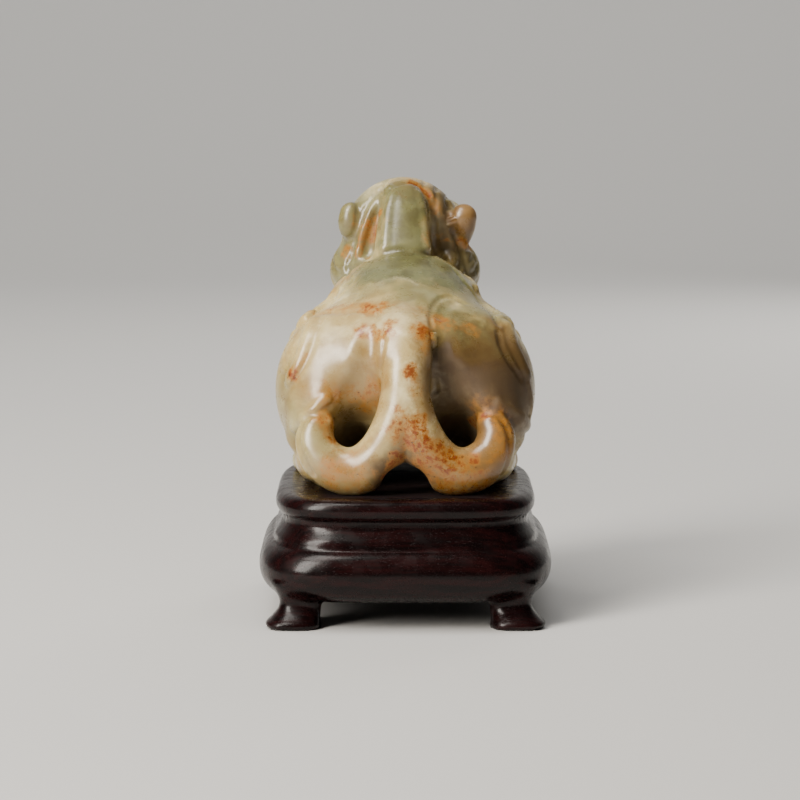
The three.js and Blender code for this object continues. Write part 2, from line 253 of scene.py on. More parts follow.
class CornerFoot(Form):
    """A foot whose rounded square section shifts and swells with height, at each of the four corners.

    Attributes:
        POWER: How square its section is.
        LEVELS: Number of sections that its smooth outline is read at.
    """

    POWER = 2.8
    LEVELS = 40

    def __init__(self, sections: Sequence[Point], corner: float) -> None:
        """Keeps the foot's sections.

        Args:
            sections: Height of each section, how far out its middle is in x, and its half width.
            corner: How much further out the middle is in y.
        """
        marks = np.array(sections, float)
        along = np.linspace(0, len(marks) - 1, self.LEVELS)
        first = np.minimum(along.astype(int), len(marks) - 2)
        self.heights, self.shifts, self.halves = Limb.smooth(marks, first, (along - first)[:, None]).T
        self.corner = corner
        self.centre = np.zeros(3)
        self.radius = float(np.hypot(self.shifts.max(), self.shifts.max() + corner) + 2 * self.halves.max())

    def distance(self, points: Array) -> Array:
        """Signed distance, true near the surface.

        Args:
            points: One row of x, y, z for each point.

        Returns:
            One distance for each point.
        """
        z = np.clip(points[:, 2], self.heights[0], self.heights[-1])
        shift = np.interp(z, self.heights, self.shifts)
        half = np.interp(z, self.heights, self.halves)
        x = np.abs(np.abs(points[:, 0]) - shift)
        y = np.abs(np.abs(points[:, 1]) - shift - self.corner)
        side = (x**self.POWER + y**self.POWER) ** (1 / self.POWER) - half
        beyond = np.maximum(self.heights[0] - points[:, 2], points[:, 2] - self.heights[-1])
        return np.maximum(side, beyond)


class Work(Enum):
    """What a form does to the carving."""

    ADD = 1
    CUT = -1
    LINE = 0


@dataclass(frozen=True)
class Stroke:
    """One step of the carving.

    Attributes:
        form: The form that is added, cut out or followed as a line.
        work: What is done with it.
        seam: Width of the soft seam, or half the width of a line.
        depth: Depth of a line, negative for a raised one.
        twin: Whether the same is done on the other side.
    """

    form: Form
    work: Work
    seam: float
    depth: float = 0.0
    twin: bool = False


class Carving:
    """Forms that are added and cut in order, each with a soft seam, and then lines on the surface."""

    def __init__(self, front: float = 0.0, shortening: float = 1.0) -> None:
        """Starts with nothing.

        Args:
            front: Where the carving ends in +Y.
            shortening: How much shorter than its forms are drawn the carving is, from there back.
        """
        self.strokes: list[Stroke] = []
        self.front = front
        self.shortening = shortening

    def real(self, spots: Array) -> Array:
        """Where drawn places are on the carving."""
        return spots * [1, self.shortening, 1] + [0, self.front * (1 - self.shortening), 0]

    def add(self, form: Form, seam: float, twin: bool = False) -> None:
        """Adds a form with a soft seam."""
        self.strokes.append(Stroke(form, Work.ADD, seam, twin=twin))

    def cut(self, form: Form, seam: float, twin: bool = False) -> None:
        """Cuts a form out with a soft edge."""
        self.strokes.append(Stroke(form, Work.CUT, seam, twin=twin))

    def line(self, spots: Array, depth: float, width: float, twin: bool = False) -> None:
        """Cuts a line into the surface, or raises a ridge where the depth is negative.

        Args:
            spots: Points on the carving's surface that the line runs through.
            depth: Its depth in the middle.
            width: Half its width.
            twin: Whether the other side has the same line.
        """
        drawn = (spots - self.real(np.zeros(3))) / [1, self.shortening, 1]
        stations = np.hstack([drawn, np.zeros((len(spots), 1))])
        self.strokes.append(Stroke(Limb(stations), Work.LINE, width, depth, twin))

    def distance(self, points: Array) -> Array:
        """Signed distance of each point to the carving's surface."""
        return self.drawn((points - self.real(np.zeros(3))) / [1, self.shortening, 1])

    def drawn(self, points: Array) -> Array:
        """Signed distance of each point to the forms as they are drawn.

        Args:
            points: One row of x, y, z for each point, as drawn.

        Returns:
            One distance for each point.
        """
        far = np.full(len(points), 1e3)
        folded = points * [1, 1, 1]
        folded[:, 0] = np.abs(folded[:, 0])
        for stroke in self.strokes:
            spots = folded if stroke.twin else points
            away = np.sqrt(((spots - stroke.form.centre) ** 2).sum(1)) - stroke.form.radius
            if stroke.work is Work.LINE:
                near = (away <= stroke.seam) & (np.abs(far) < 3 * stroke.seam + 1)
                if near.any():
                    share = np.clip(stroke.form.distance(spots[near]) / stroke.seam, 0, 1)
                    far[near] += stroke.depth * (1 - share**2) ** 2
                continue
            sign = stroke.work.value
            near = away <= sign * far + stroke.seam
            if near.any():
                far[near] = sign * soft_min(sign * far[near], stroke.form.distance(spots[near]), stroke.seam)
        return far

    def slope(self, points: Array, reach: float = 0.03) -> Array:
        """Gradient of the distance, from four points round each one.

        Args:
            points: One row of x, y, z for each point.
            reach: How far from it the four points lie.

        Returns:
            One gradient for each point.
        """
        corners = np.array([[1, -1, -1], [-1, -1, 1], [-1, 1, -1], [1, 1, 1]], float)
        total = np.zeros_like(points)
        for corner in corners:
            total += corner * self.distance(points + corner * reach)[:, None]
        return total / (4 * reach)

    def settle(self, points: Array, most: float, rounds: int = 2) -> Array:
        """Moves points on to the surface.

        Args:
            points: The points, near the surface.
            most: The longest step.
            rounds: Number of steps.

        Returns:
            The moved points.
        """
        for _ in range(rounds):
            slope = self.slope(points)
            steep = np.maximum((slope * slope).sum(1), 0.15)
            step = np.clip(self.distance(points) / steep, -most, most)
            points = points - step[:, None] * slope
        return points

    def flank(self, y: float, z: float) -> float:
        """How far out the flank is at a place along the body and a height.

        Args:
            y: Place along the body, as drawn.
            z: Height.

        Returns:
            Its distance from the middle.
        """
        reach = np.linspace(0, 30, 601)
        spots = np.stack([reach, np.full(601, y), np.full(601, z)], -1)
        outside = self.drawn(spots) > 0
        return float(reach[int(np.argmax(outside))])

    def upon(self, starts: Array, ways: Array) -> Array:
        """Where rays meet the surface.

        Args:
            starts: Where each ray starts.
            ways: Its direction, one millimetre long.

        Returns:
            The first point of each ray on the surface, or its nearest point to it.
        """
        spots = starts.copy()
        best = spots.copy()
        least = np.full(len(spots), np.inf)
        for _ in range(90):
            far = self.distance(spots)
            closer = np.abs(far) < least
            best[closer] = spots[closer]
            least = np.minimum(least, np.abs(far))
            spots = spots + (np.clip(far, -1, 8) * 0.7)[:, None] * ways
        return best


def soft_min(a: Array, b: Array, seam: float) -> Array:
    """The smaller of two distances, with a rounded seam."""
    near = np.maximum(seam - np.abs(a - b), 0) / seam
    return np.minimum(a, b) - near * near * seam / 4


@dataclass(frozen=True)
class Viewpoint:
    """Where the photographer's camera stood, in millimetres, as the stand's edges in the photograph tell.

    Attributes:
        elevation: Height of the camera over the horizon, in degrees. It looks along +Y.
        distance: Distance from the camera to the target.
        target: The point in the middle of the picture.
        pixels_per_mm: Size of the picture of one millimetre at the target.
        picture: Width and height of the picture in pixels.
    """

    elevation: float = 6.5
    distance: float = 570.0
    target: Point = (-0.9, 0.0, 34.8)
    pixels_per_mm: float = 5.86
    picture: int = 800

    @property
    def back(self) -> Vector:
        """Direction from the target to the camera."""
        tilt = math.radians(self.elevation)
        return Vector((0, -math.cos(tilt), math.sin(tilt)))

    @property
    def place(self) -> Vector:
        """Where the camera is."""
        return Vector(self.target) + self.back * self.distance

    @property
    def focal_pixels(self) -> float:
        """Focal length in pixels."""
        return self.pixels_per_mm * self.distance

    def rays(self, pixels: Sequence[Pair]) -> tuple[Array, Array]:
        """The rays that made pixels of the photograph.

        Args:
            pixels: Places in the photograph, from its top left corner.

        Returns:
            Starts, close in front of the object, and directions.
        """
        right = np.array([1.0, 0, 0])
        ahead = -np.array(self.back)
        up = np.cross(right, ahead)
        spots = (np.array(pixels, float) - self.picture / 2) / self.focal_pixels
        ways = ahead + spots[:, :1] * right - spots[:, 1:] * up
        ways /= np.linalg.norm(ways, axis=1)[:, None]
        return np.array(self.place) + ways * (self.distance - 60), ways


@dataclass(frozen=True)
class Cut:
    """A line that the photograph shows in the jade.

    Attributes:
        name: What the line is.
        pixels: Places in the photograph that it runs through.
        depth: Its depth in millimetres, negative for a raised edge.
        width: Half its width.
    """

    name: str
    pixels: tuple[Pair, ...]
    depth: float
    width: float


SEEN_CUTS = (
    Cut(
        "right edge of the mane",
        ((400, 183), (416, 184), (427, 192), (433, 206), (434, 226), (435, 244), (438, 254)),
        1.0,
        1.0,
    ),
    Cut("left edge of the mane", ((396, 184), (387, 194), (381, 212), (379, 232), (377, 252)), 0.5, 1.1),
    Cut("left part of the mane", ((391, 190), (387, 210), (385, 230), (384, 248)), -0.5, 1.5),
    Cut("right part of the mane", ((420, 194), (424, 212), (426, 232), (428, 248)), -0.45, 1.4),
    Cut("lock beside the mane", ((390, 187), (377, 200), (369, 217), (362, 237), (358, 252)), -0.7, 1.2),
    Cut("outer side of the lock", ((385, 185), (371, 200), (362, 217), (356, 236), (352, 252)), 0.35, 0.9),
    Cut("hollow beside the lock", ((378, 214), (373, 232), (369, 250)), 0.9, 2.0),
    Cut("shadow under the left ear", ((338, 238), (346, 240), (354, 240)), 0.8, 1.0),
    Cut("inner side of the left ear", ((357, 203), (358, 216), (356, 230), (350, 239)), 0.4, 0.8),
    Cut("inner side of the right ear", ((449, 203), (450, 216), (455, 232), (462, 245)), 0.9, 1.1),
    Cut("shadow under the right ear", ((462, 245), (470, 248), (478, 245)), 0.7, 0.9),
    Cut("left jowl", ((357, 243), (352, 256), (349, 270), (350, 282)), 0.5, 1.0),
    Cut("right jowl", ((460, 248), (464, 260), (466, 272)), 0.5, 1.0),
    Cut("right cheek line", ((472, 250), (476, 262), (477, 274)), 0.3, 0.5),
    Cut("collar", ((352, 270), (366, 261), (384, 253), (404, 249), (426, 253), (446, 260)), 0.7, 0.9),
    Cut("peak of the right wing", ((447, 257), (452, 260)), -0.9, 1.5),
    Cut("right wing groove", ((453, 268), (464, 282), (477, 297), (489, 311), (498, 324)), 0.7, 0.8),
    Cut("right wing rim", ((450, 258), (463, 271), (477, 288), (490, 304), (502, 318)), -0.6, 0.9),
    Cut("right outer groove", ((470, 274), (482, 290), (495, 306)), 0.35, 0.5),
    Cut("left wing groove", ((372, 262), (356, 281), (340, 296), (322, 309), (309, 318)), 0.4, 0.6),
    Cut("left wing rim", ((366, 261), (350, 280), (334, 295), (317, 307)), -0.4, 0.7),
    Cut("left outer groove", ((358, 264), (343, 281), (328, 295), (313, 306)), 0.35, 0.5),
    Cut("notch over the left knob", ((336, 292), (326, 301), (318, 308), (308, 307)), 0.7, 1.5),
    Cut("left knob", ((312, 312), (306, 317)), -0.5, 1.5),
    Cut("notch over the right knob", ((478, 290), (487, 301), (495, 309)), 0.9, 1.6),
    Cut("right knob", ((501, 319), (506, 325)), -0.4, 1.5),
    Cut("crease across the rump", ((318, 314), (340, 312), (362, 311), (380, 315)), 0.3, 1.2),
    Cut(
        "arch right of the tail",
        ((433, 346), (431, 322), (433, 307), (441, 298), (452, 297), (464, 303)),
        0.9,
        0.75,
    ),
    Cut("hollow in the arch", ((440, 316), (445, 307), (454, 303)), 0.5, 1.8),
    Cut("groove left of the tail", ((384, 345), (381, 325), (378, 307)), 0.5, 0.45),
    Cut("left side of the tail", ((384, 340), (381, 360), (380, 374)), 0.8, 0.8),
    Cut("right side of the tail", ((434, 340), (434, 365), (435, 392)), 1.0, 1.1),
    Cut("left leaf", ((312, 321), (304, 344), (297, 364), (289, 380)), -0.8, 1.6),
    Cut("inner side of the left leaf", ((321, 322), (313, 346), (304, 366), (292, 384)), 0.3, 0.8),
    Cut("right leaf", ((508, 326), (513, 343), (521, 360), (527, 374)), -0.9, 1.7),
    Cut("inner side of the right leaf", ((498, 331), (502, 348), (511, 364), (521, 379)), 0.5, 0.8),
    Cut("first line on the left haunch", ((284, 352), (287, 364), (294, 376)), 0.25, 0.4),
    Cut("second line on the left haunch", ((279, 371), (286, 377), (291, 380)), 0.25, 0.4),
    Cut("edge of the right thigh", ((528, 384), (531, 400), (530, 414), (526, 426)), -0.5, 0.9),
    Cut("left hock", ((326, 400), (313, 409), (303, 417), (295, 428)), -0.8, 1.4),
    Cut("line under the left hock", ((330, 404), (317, 412), (307, 420), (299, 431)), 0.35, 0.5),
    Cut("right hock", ((500, 404), (510, 409), (519, 416), (527, 426)), -0.9, 1.6),
    Cut("line over the right hock", ((501, 399), (511, 404), (521, 412), (529, 421)), 0.3, 0.5),
    Cut(
        "left curl",
        ((326, 417), (316, 414), (306, 417), (300, 427), (298, 441), (303, 458), (312, 474)),
        0.8,
        0.9,
    ),
    Cut(
        "right curl",
        ((480, 416), (491, 413), (501, 418), (508, 430), (510, 446), (508, 462), (500, 478)),
        0.8,
        0.9,
    ),
)


class Beast:
    """The beast's forms, in millimetres, +Y the way it faces and heights from its soles.

    Attributes:
        FRONT: Where its forepaws end.
        SHORTENING: From there back it is this much shorter than its forms are drawn.
        FEATHERS: Place along the body and height of each feather's root, middle and tip, and its half width.
    """

    FRONT = 28.0
    SHORTENING = 0.9
    FEATHERS = (
        ((9, 33.4), (0, 30.4), (-9, 26.8), 1.3),
        ((10.5, 30), (3, 27.2), (-4, 23.8), 1.9),
        ((12, 25.6), (5.5, 22.6), (-0.5, 19), 1.9),
    )

    def __init__(self, view: Viewpoint, seat: float) -> None:
        """Carves the whole beast.

        Args:
            view: The photographer's place, for what is placed by the photograph.
            seat: Height of the beast's soles over the ground.
        """
        self.view = view
        self.seat = seat
        self.jade = Carving(self.FRONT, self.SHORTENING)
        self._torso()
        self._hind_legs()
        self._forelegs()
        self._tail()
        self._wings()
        self._head()
        self._face()
        self._lines_behind()
        self._lines_in_front()

    def seen(self, *pixels: Pair) -> Array:
        """Points of the surface that show at places in the photograph.

        Args:
            pixels: The places, across and down.

        Returns:
            One row of x, y, z for each place.
        """
        starts, ways = self.view.rays(pixels)
        starts[:, 2] -= self.seat
        return self.jade.upon(starts, ways)

    def laid(self, *places: Point) -> Array:
        """Drawn places moved on to the surface, for lines that the photograph doesn't show."""
        return self.jade.settle(self.jade.real(np.array(places, float)), 2, 6)

    def _torso(self) -> None:
        """Chest, loins, breast, back, neck and throat."""
        jade = self.jade
        jade.add(Ellipsoid((0, 4, 19.5), (14.4, 15, 16.4)), 1)
        jade.add(Ellipsoid((0, -8, 18), (12, 13, 12.4)), 6)
        jade.add(Ellipsoid((0, 14, 15.5), (12, 10.5, 13.5)), 6)
        back = [(0, -15, 23.2, 11.2), (0, -6, 26.4, 12.2), (0, 2, 29.2, 12.4), (0, 6, 29, 12)]
        jade.add(Limb(back, 0.62, (0, 0, 1), 14), 5)
        jade.add(Limb([(0, 8, 31, 8), (0, 15, 35, 8.4)]), 4)
        jade.add(Ellipsoid((0, 18.5, 26), (8.4, 6.6, 9)), 3)

    def _hind_legs(self) -> None:
        """Haunches, knees, shanks and toes."""
        jade = self.jade
        jade.add(Ellipsoid((10.9, -10, 16), (11, 12.8, 13.6)), 4, True)
        jade.add(Ellipsoid((14.9, 3, 11.2), (4.9, 8.5, 9)), 2.5, True)
        shank = [(14, -15, 5.2, 4.4), (14.8, -9, 4, 3.9), (15, 0, 3, 3.4), (15.4, 8, 2.5, 3.3)]
        jade.add(Limb(shank), 1.5, True)
        for spread in (-1, 0, 1):
            toe = (15.6 + 2.4 * spread, 11.4 - 0.9 * spread**2, 1.7)
            jade.add(Ellipsoid(toe, (1.7, 3.2, 2.1)), 0.6, True)

    def _forelegs(self) -> None:
        """Shoulders, forelegs and toes."""
        jade = self.jade
        jade.add(Ellipsoid((10.3, 13, 17), (6, 8, 11)), 3, True)
        jade.add(Limb([(11.6, 14, 9, 4.8), (10.8, 19, 5, 4.2), (9.6, 23, 3.4, 3.8)]), 1.5, True)
        for spread in (-1, 0, 1):
            toe = (9.4 + 2.7 * spread, 26 - 0.8 * spread**2, 1.9)
            jade.add(Ellipsoid(toe, (1.8, 3.2, 2.3)), 0.6, True)

    def _tail(self) -> None:
        """The pockets beside the tail, the heels over its ends, its trunk and its two curls."""
        jade = self.jade
        groove = [(6, -19.5, 30.5, 0.8), (6.2, -23, 27, 1.6), (6.6, -24.6, 22.5, 2), (7.4, -24.6, 17.5, 2.2)]
        jade.cut(Limb(groove), 2, True)
        pocket = [(7.6, -25.4, 17.5, 1.6), (8.4, -23.2, 12.6, 3.2), (8.5, -19.6, 9, 3.9), (7.4, -14, 5, 3)]
        jade.cut(Limb(pocket), 4.5, True)
        jade.add(Limb([(17.8, -15.6, 8.6, 1.9), (16.8, -18.2, 12.6, 2.1), (14, -20, 14.8, 1.9)]), 2.4, True)
        trunk = [(0, -12, 26.5, 3.4), (0, -19.4, 26, 4), (0, -23.8, 21, 4)]
        trunk += [(0, -25.4, 14.6, 4), (0, -25.4, 12, 3.9)]
        jade.add(Limb(trunk), 1.1)
        curl = [(0.8, -25.4, 14.6, 3.6), (1.8, -25.8, 10.6, 4), (4, -25.6, 6.7, 4.1), (7.2, -25, 4.15, 4.1)]
        curl += [(10.8, -24.4, 4.05, 3.9), (13.8, -23.6, 6, 3.6), (15, -22.8, 9, 3.2), (14.4, -22, 11.4, 2.6)]
        jade.add(Limb(curl), 0.9, True)
        jade.cut(Limb([(0, -33, 1.1, 4.2), (0, -24, 1, 4), (0, -15, 1.2, 3.4), (0, -7, 0.6, 2.4)]), 1.2)

    def _wings(self) -> None:
        """Feathers along the flank, from the shoulder back to the haunch."""
        laid = []
        for start, over, tip, width in self.FEATHERS:
            marks = zip((start, over, tip), (0.8, 1.0, 1.2))
            laid.append(Limb([(self.jade.flank(y, z) - 0.8, y, z, width * part) for (y, z), part in marks]))
        for feather in laid:
            self.jade.add(feather, 1.2, True)

    def _head(self) -> None:
        """Skull, jowls, nape, ears and mane."""
        jade = self.jade
        jade.add(Ellipsoid((-0.3, 18.5, 39.3), (10.8, 9.8, 11.3)), 2.5)
        jade.add(Ellipsoid((7.6, 18.5, 34.2), (5.6, 6.4, 5.8)), 1.2, True)
        jade.cut(Limb([(-7, 8, 46, 1.6), (-7.2, 8.6, 42.8, 2.4), (-7, 9, 38.6, 2.6)]), 2)
        jade.cut(Limb([(6.2, 9, 46.6, 2), (6.6, 8.8, 42.8, 3.2), (6.8, 9.2, 38.4, 3.6)]), 1)
        jade.add(Limb([(-9.2, 15, 41, 2), (-9.4, 14.6, 42.8, 2.3), (-9.4, 14.4, 44.4, 2)]), 0.7)
        jade.add(Limb([(9.8, 15, 40, 1.6), (10, 14.6, 42, 2.2), (10.2, 14.4, 43.8, 2.3)]), 0.7)
        jade.add(Limb([(-7.4, 15.4, 41.2, 2.2), (-7.4, 15, 44.4, 2)]), 0.7)
        mane = [(-0.5, 14.6, 47.7, 3.3), (-0.5, 10.3, 45.7, 4)]
        mane += [(-0.5, 7.1, 41.7, 4.4), (-0.4, 4.5, 36.8, 5.1)]
        jade.add(Limb(mane, 0.58, (0, -0.85, 0.5)), 0.8)

    def _face(self) -> None:
        """Muzzle, jaw, lips, nose, eyes, brows, mouth and beard."""
        jade = self.jade
        jade.add(Ellipsoid((0, 24, 35), (8, 5.4, 5.4)), 1.5)
        jade.add(Ellipsoid((0, 24.2, 29), (6.6, 5.4, 3.4)), 1)
        jade.add(Ellipsoid((3.6, 27, 35), (3.9, 3, 3.2)), 1, True)
        jade.add(Limb([(0, 26.8, 40, 2.4), (0, 25.4, 43.6, 2.4), (0, 23.4, 45.6, 2)]), 1.5)
        jade.add(Ellipsoid((0, 28.2, 38.6), (3.8, 2, 1.9)), 0.6)
        jade.add(Ellipsoid((5.6, 24.8, 41.4), (2.9, 2.6, 2.7)), 0.5, True)
        brow = [(2.6, 25.6, 44, 1.4), (6, 24.4, 45, 1.8), (8.8, 21, 44, 1.7), (9.6, 18, 42.4, 1.4)]
        jade.add(Limb(brow), 0.7, True)
        jade.cut(Limb([(7.9, 25.2, 33.2, 0.9), (4.6, 28.8, 31.6, 1.3), (0, 30.2, 32, 1.3)]), 0.6, True)
        for side in (-1, 0, 1):
            lock = [(3.2 * side, 25.2, 26.6, 2.6), (4.2 * side, 25, 22.6, 2.3), (4.6 * side, 24.2, 18.6, 1.6)]
            jade.add(Limb(lock), 0.8)

    def _lines_behind(self) -> None:
        """Cut lines and raised edges that the photograph shows."""
        laid = [(self.seen(*cut.pixels), cut) for cut in SEEN_CUTS]
        for spots, cut in laid:
            self.jade.line(spots, cut.depth, cut.width)

    def _lines_in_front(self) -> None:
        """Lines that the photograph doesn't show: on the face, the locks, the feathers and the paws."""
        self._eyes()
        self._nose_and_mouth()
        self._locks()
        self._feather_lines()
        self._beard_and_claws()
        turns = 0.55 * np.arange(13)
        reach = 5.2 - 0.34 * np.arange(13)
        outwards = 19.5 - 0.05 * np.arange(13)
        curl = np.stack([outwards, reach * np.cos(turns) - 6, reach * np.sin(turns) + 18], -1)
        self.jade.line(self.laid(*curl), 0.4, 0.6, True)

    def _eyes(self) -> None:
        """The raised rim of each eye, the groove inside it and the pupil."""
        turns = np.linspace(0, 2 * np.pi, 13)
        for reach, depth, width in ((2.5, -0.6, 0.6), (1.7, 0.6, 0.45), (0.1, 0.7, 0.7)):
            across = reach * np.cos(turns)
            ring = np.stack([6.3 + across, 27.4 - 0.3 * across, 41.2 + reach * np.sin(turns)], -1)
            self.jade.line(self.laid(*ring), depth, width, True)

    def _nose_and_mouth(self) -> None:
        """Nostrils, the furrow under the nose, the mouth's corners and lips, and the edge of the muzzle."""
        jade = self.jade
        jade.line(self.laid((1.5, 30, 38.4), (2.3, 29.8, 38)), 0.9, 0.7, True)
        jade.line(self.laid((0, 30, 37), (0, 30, 35), (0, 30, 33)), 0.7, 0.5)
        jade.line(self.laid((7.6, 26, 33.4), (9, 24.2, 34.6), (9.4, 23.4, 36.4)), 0.8, 0.6, True)
        jade.line(self.laid((2.2, 28, 32.2), (5, 28, 32.4), (7.6, 26, 33.2)), 0.8, 0.6, True)
        jade.line(self.laid((3, 29, 40.4), (4.4, 28, 38.8), (6.6, 27, 37.6)), 0.5, 0.6, True)

    def _locks(self) -> None:
        """Hair over the crown and down each side of the neck."""
        for step in range(3):
            fall = 1.5 * step
            start = (3 + 2 * step, 22, 48 - fall)
            over = (3.6 + 2 * step, 16, 50.2 - fall)
            end = (4.4 + 1.6 * step, 11, 48.4 - fall)
            self.jade.line(self.laid(start, over, end), 0.5, 0.6, True)
        for lock in range(4):
            z = 38.5 - 2.8 * lock
            spots = self.laid((12.6, 17, z), (13, 13, z - 1.6), (12, 9, z - 2), (10, 6.5, z - 0.6))
            self.jade.line(spots, 0.4, 0.6, True)

    def _feather_lines(self) -> None:
        """Three lines along each feather."""
        for start, over, tip, _ in self.FEATHERS:
            for drop in (-1.9, -0.6, 0.7):
                spots = [(self.jade.flank(y, z + drop), y, z + drop) for y, z in (start, over, tip)]
                self.jade.line(self.laid(*spots), 0.3, 0.45, True)

    def _beard_and_claws(self) -> None:
        """A line down each lock of the beard, and one over each claw."""
        for side in (-1, 0, 1):
            lock = self.laid((3.2 * side - 0.4, 28, 25), (4.1 * side, 27.2, 22), (4.6 * side, 26, 18.8))
            self.jade.line(lock, 0.3, 0.5)
            for x, y in ((9.4 + 2.7 * side, 28.9 - 0.8 * side**2), (15.6 + 2.4 * side, 14.3 - 0.9 * side**2)):
                self.jade.line(self.laid((x, y - 0.6, 3.4), (x, y, 1.6)), 0.3, 0.5, True)


def arc(middle: Pair, half: Pair, start: float, end: float, count: int) -> list[Pair]:
    """Points of a rounded moulding.

    Args:
        middle: Middle of the round, as growth outwards and height.
        half: Its half width and half height.
        start: Angle where it starts, in degrees.
        end: Angle where it ends.
        count: Number of points.

    Returns:
        Growth and height of each point.
    """
    turns = np.radians(np.linspace(start, end, count))
    return [(middle[0] + half[0] * math.cos(turn), middle[1] + half[1] * math.sin(turn)) for turn in turns]


@dataclass(frozen=True)
class Stand:
    """The stand's shape, in millimetres, from the ground up.

    Attributes:
        height: Height of its top.
        half: Half width and half length of its rim.
        power: How square it is in plan.
        apron: Height of the open space under it.
        ceiling: Height of the hollow inside the apron.
        bead: Half height of the rounded rim.
        foot: Height of each section of a foot, how far out its middle is, and its half width.
    """

    height: float
    half: Pair = (21.8, 27.5)
    power: float = 4.5
    apron: float = 4.4
    ceiling: float = 7.6
    bead: float = 1.9
    foot: tuple[Point, ...] = (
        (0, 18.2, 4.4),
        (0.8, 18.5, 4.5),
        (1.8, 18, 4),
        (3.2, 17.4, 3.5),
        (5, 17.2, 3.6),
        (7.4, 17.4, 4.4),
    )

    def carve(self) -> Carving:
        """The whole stand: its mouldings, then its four feet.

        Returns:
            The carving.
        """
        wood = Carving()
        profile = [(-18.0, self.ceiling), (-3.6, self.ceiling), (-3.0, self.apron), (-0.8, self.apron)]
        profile += arc((-1.2, 9.0), (4.0, 4.5), -72, 66, 26)
        profile += [(0.2, 14.4), (-0.6, 15.6), (-1.05, 16.4)]
        profile += arc((-self.bead, self.height - self.bead), (self.bead, self.bead), -66, 90, 20)
        profile += [(-18.0, self.height)]
        wood.add(Moulding(profile, self.half, self.power), 0.2)
        wood.add(CornerFoot(self.foot, self.half[1] - self.half[0]), 1.2)
        return wood


@dataclass(frozen=True)
class FineSkin:
    """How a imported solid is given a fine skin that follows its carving.

    Attributes:
        cell: Size of a facet, in millimetres.
        rounds: How often the facets are evened out.
    """

    cell: float
    rounds: int = 6

    def over(self, node: bpy.types.Object, name: str, carving: Carving, seat: float) -> bpy.types.Object:
        """Makes the skinned piece.

        Args:
            node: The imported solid.
            name: The new piece's name.
            carving: What the skin follows.
            seat: Height of the carving's ground, in millimetres.

        Returns:
            The new piece.
        """
        piece = bpy.data.objects.new(name, node.data.copy())
        bpy.context.scene.collection.objects.link(piece)
        bpy.ops.object.select_all(action="DESELECT")
        piece.select_set(True)
        bpy.context.view_layer.objects.active = piece
        bpy.ops.object.mode_set(mode="EDIT")
        bpy.ops.mesh.select_all(action="SELECT")
        bpy.ops.mesh.remove_doubles(threshold=1e-6)
        bpy.ops.object.mode_set(mode="OBJECT")
        bpy.ops.object.modifier_add(type="REMESH")
        remesh = piece.modifiers[-1]
        remesh.mode = "VOXEL"
        remesh.voxel_size = self.cell * MM
        bpy.ops.object.modifier_apply(modifier=remesh.name)
        bpy.ops.object.shade_smooth()
        self._follow(piece.data, carving, seat)
        piece.data.materials.clear()
        log.info("%s has %d vertices", name, len(piece.data.vertices))
        return piece

    def _follow(self, mesh: bpy.types.Mesh, carving: Carving, seat: float) -> None:
        """Evens out the vertices and moves them on to the carving, the soles on its ground.

        Args:
            mesh: The skin's mesh.
            carving: What it follows.
            seat: Height of the carving's ground, in millimetres.
        """
        count = len(mesh.vertices)
        flat = np.empty(count * 3)
        mesh.vertices.foreach_get("co", flat)
        spots = flat.reshape(-1, 3) / MM - [0, 0, seat]
        ends = np.empty(len(mesh.edges) * 2, int)
        mesh.edges.foreach_get("vertices", ends)
        edges = ends.reshape(-1, 2)
        share = np.maximum(np.bincount(ends, minlength=count), 1)[:, None]
        sole = spots[:, 2] < self.cell * 0.4
        for _ in range(self.rounds):
            around = np.zeros_like(spots)
            for axis in range(3):
                for near, other in ((0, 1), (1, 0)):
                    around[:, axis] += np.bincount(edges[:, near], spots[edges[:, other], axis], count)
            spots = spots + 0.5 * (around / share - spots)
            moved = carving.settle(spots, self.cell * 2, 1)
            within = sole & (carving.distance(spots) < 0)
            moved[within] = spots[within]
            moved[sole, 2] = 0
            spots = moved
        mesh.vertices.foreach_set("co", ((spots + [0, 0, seat]) * MM).ravel())
        mesh.update()


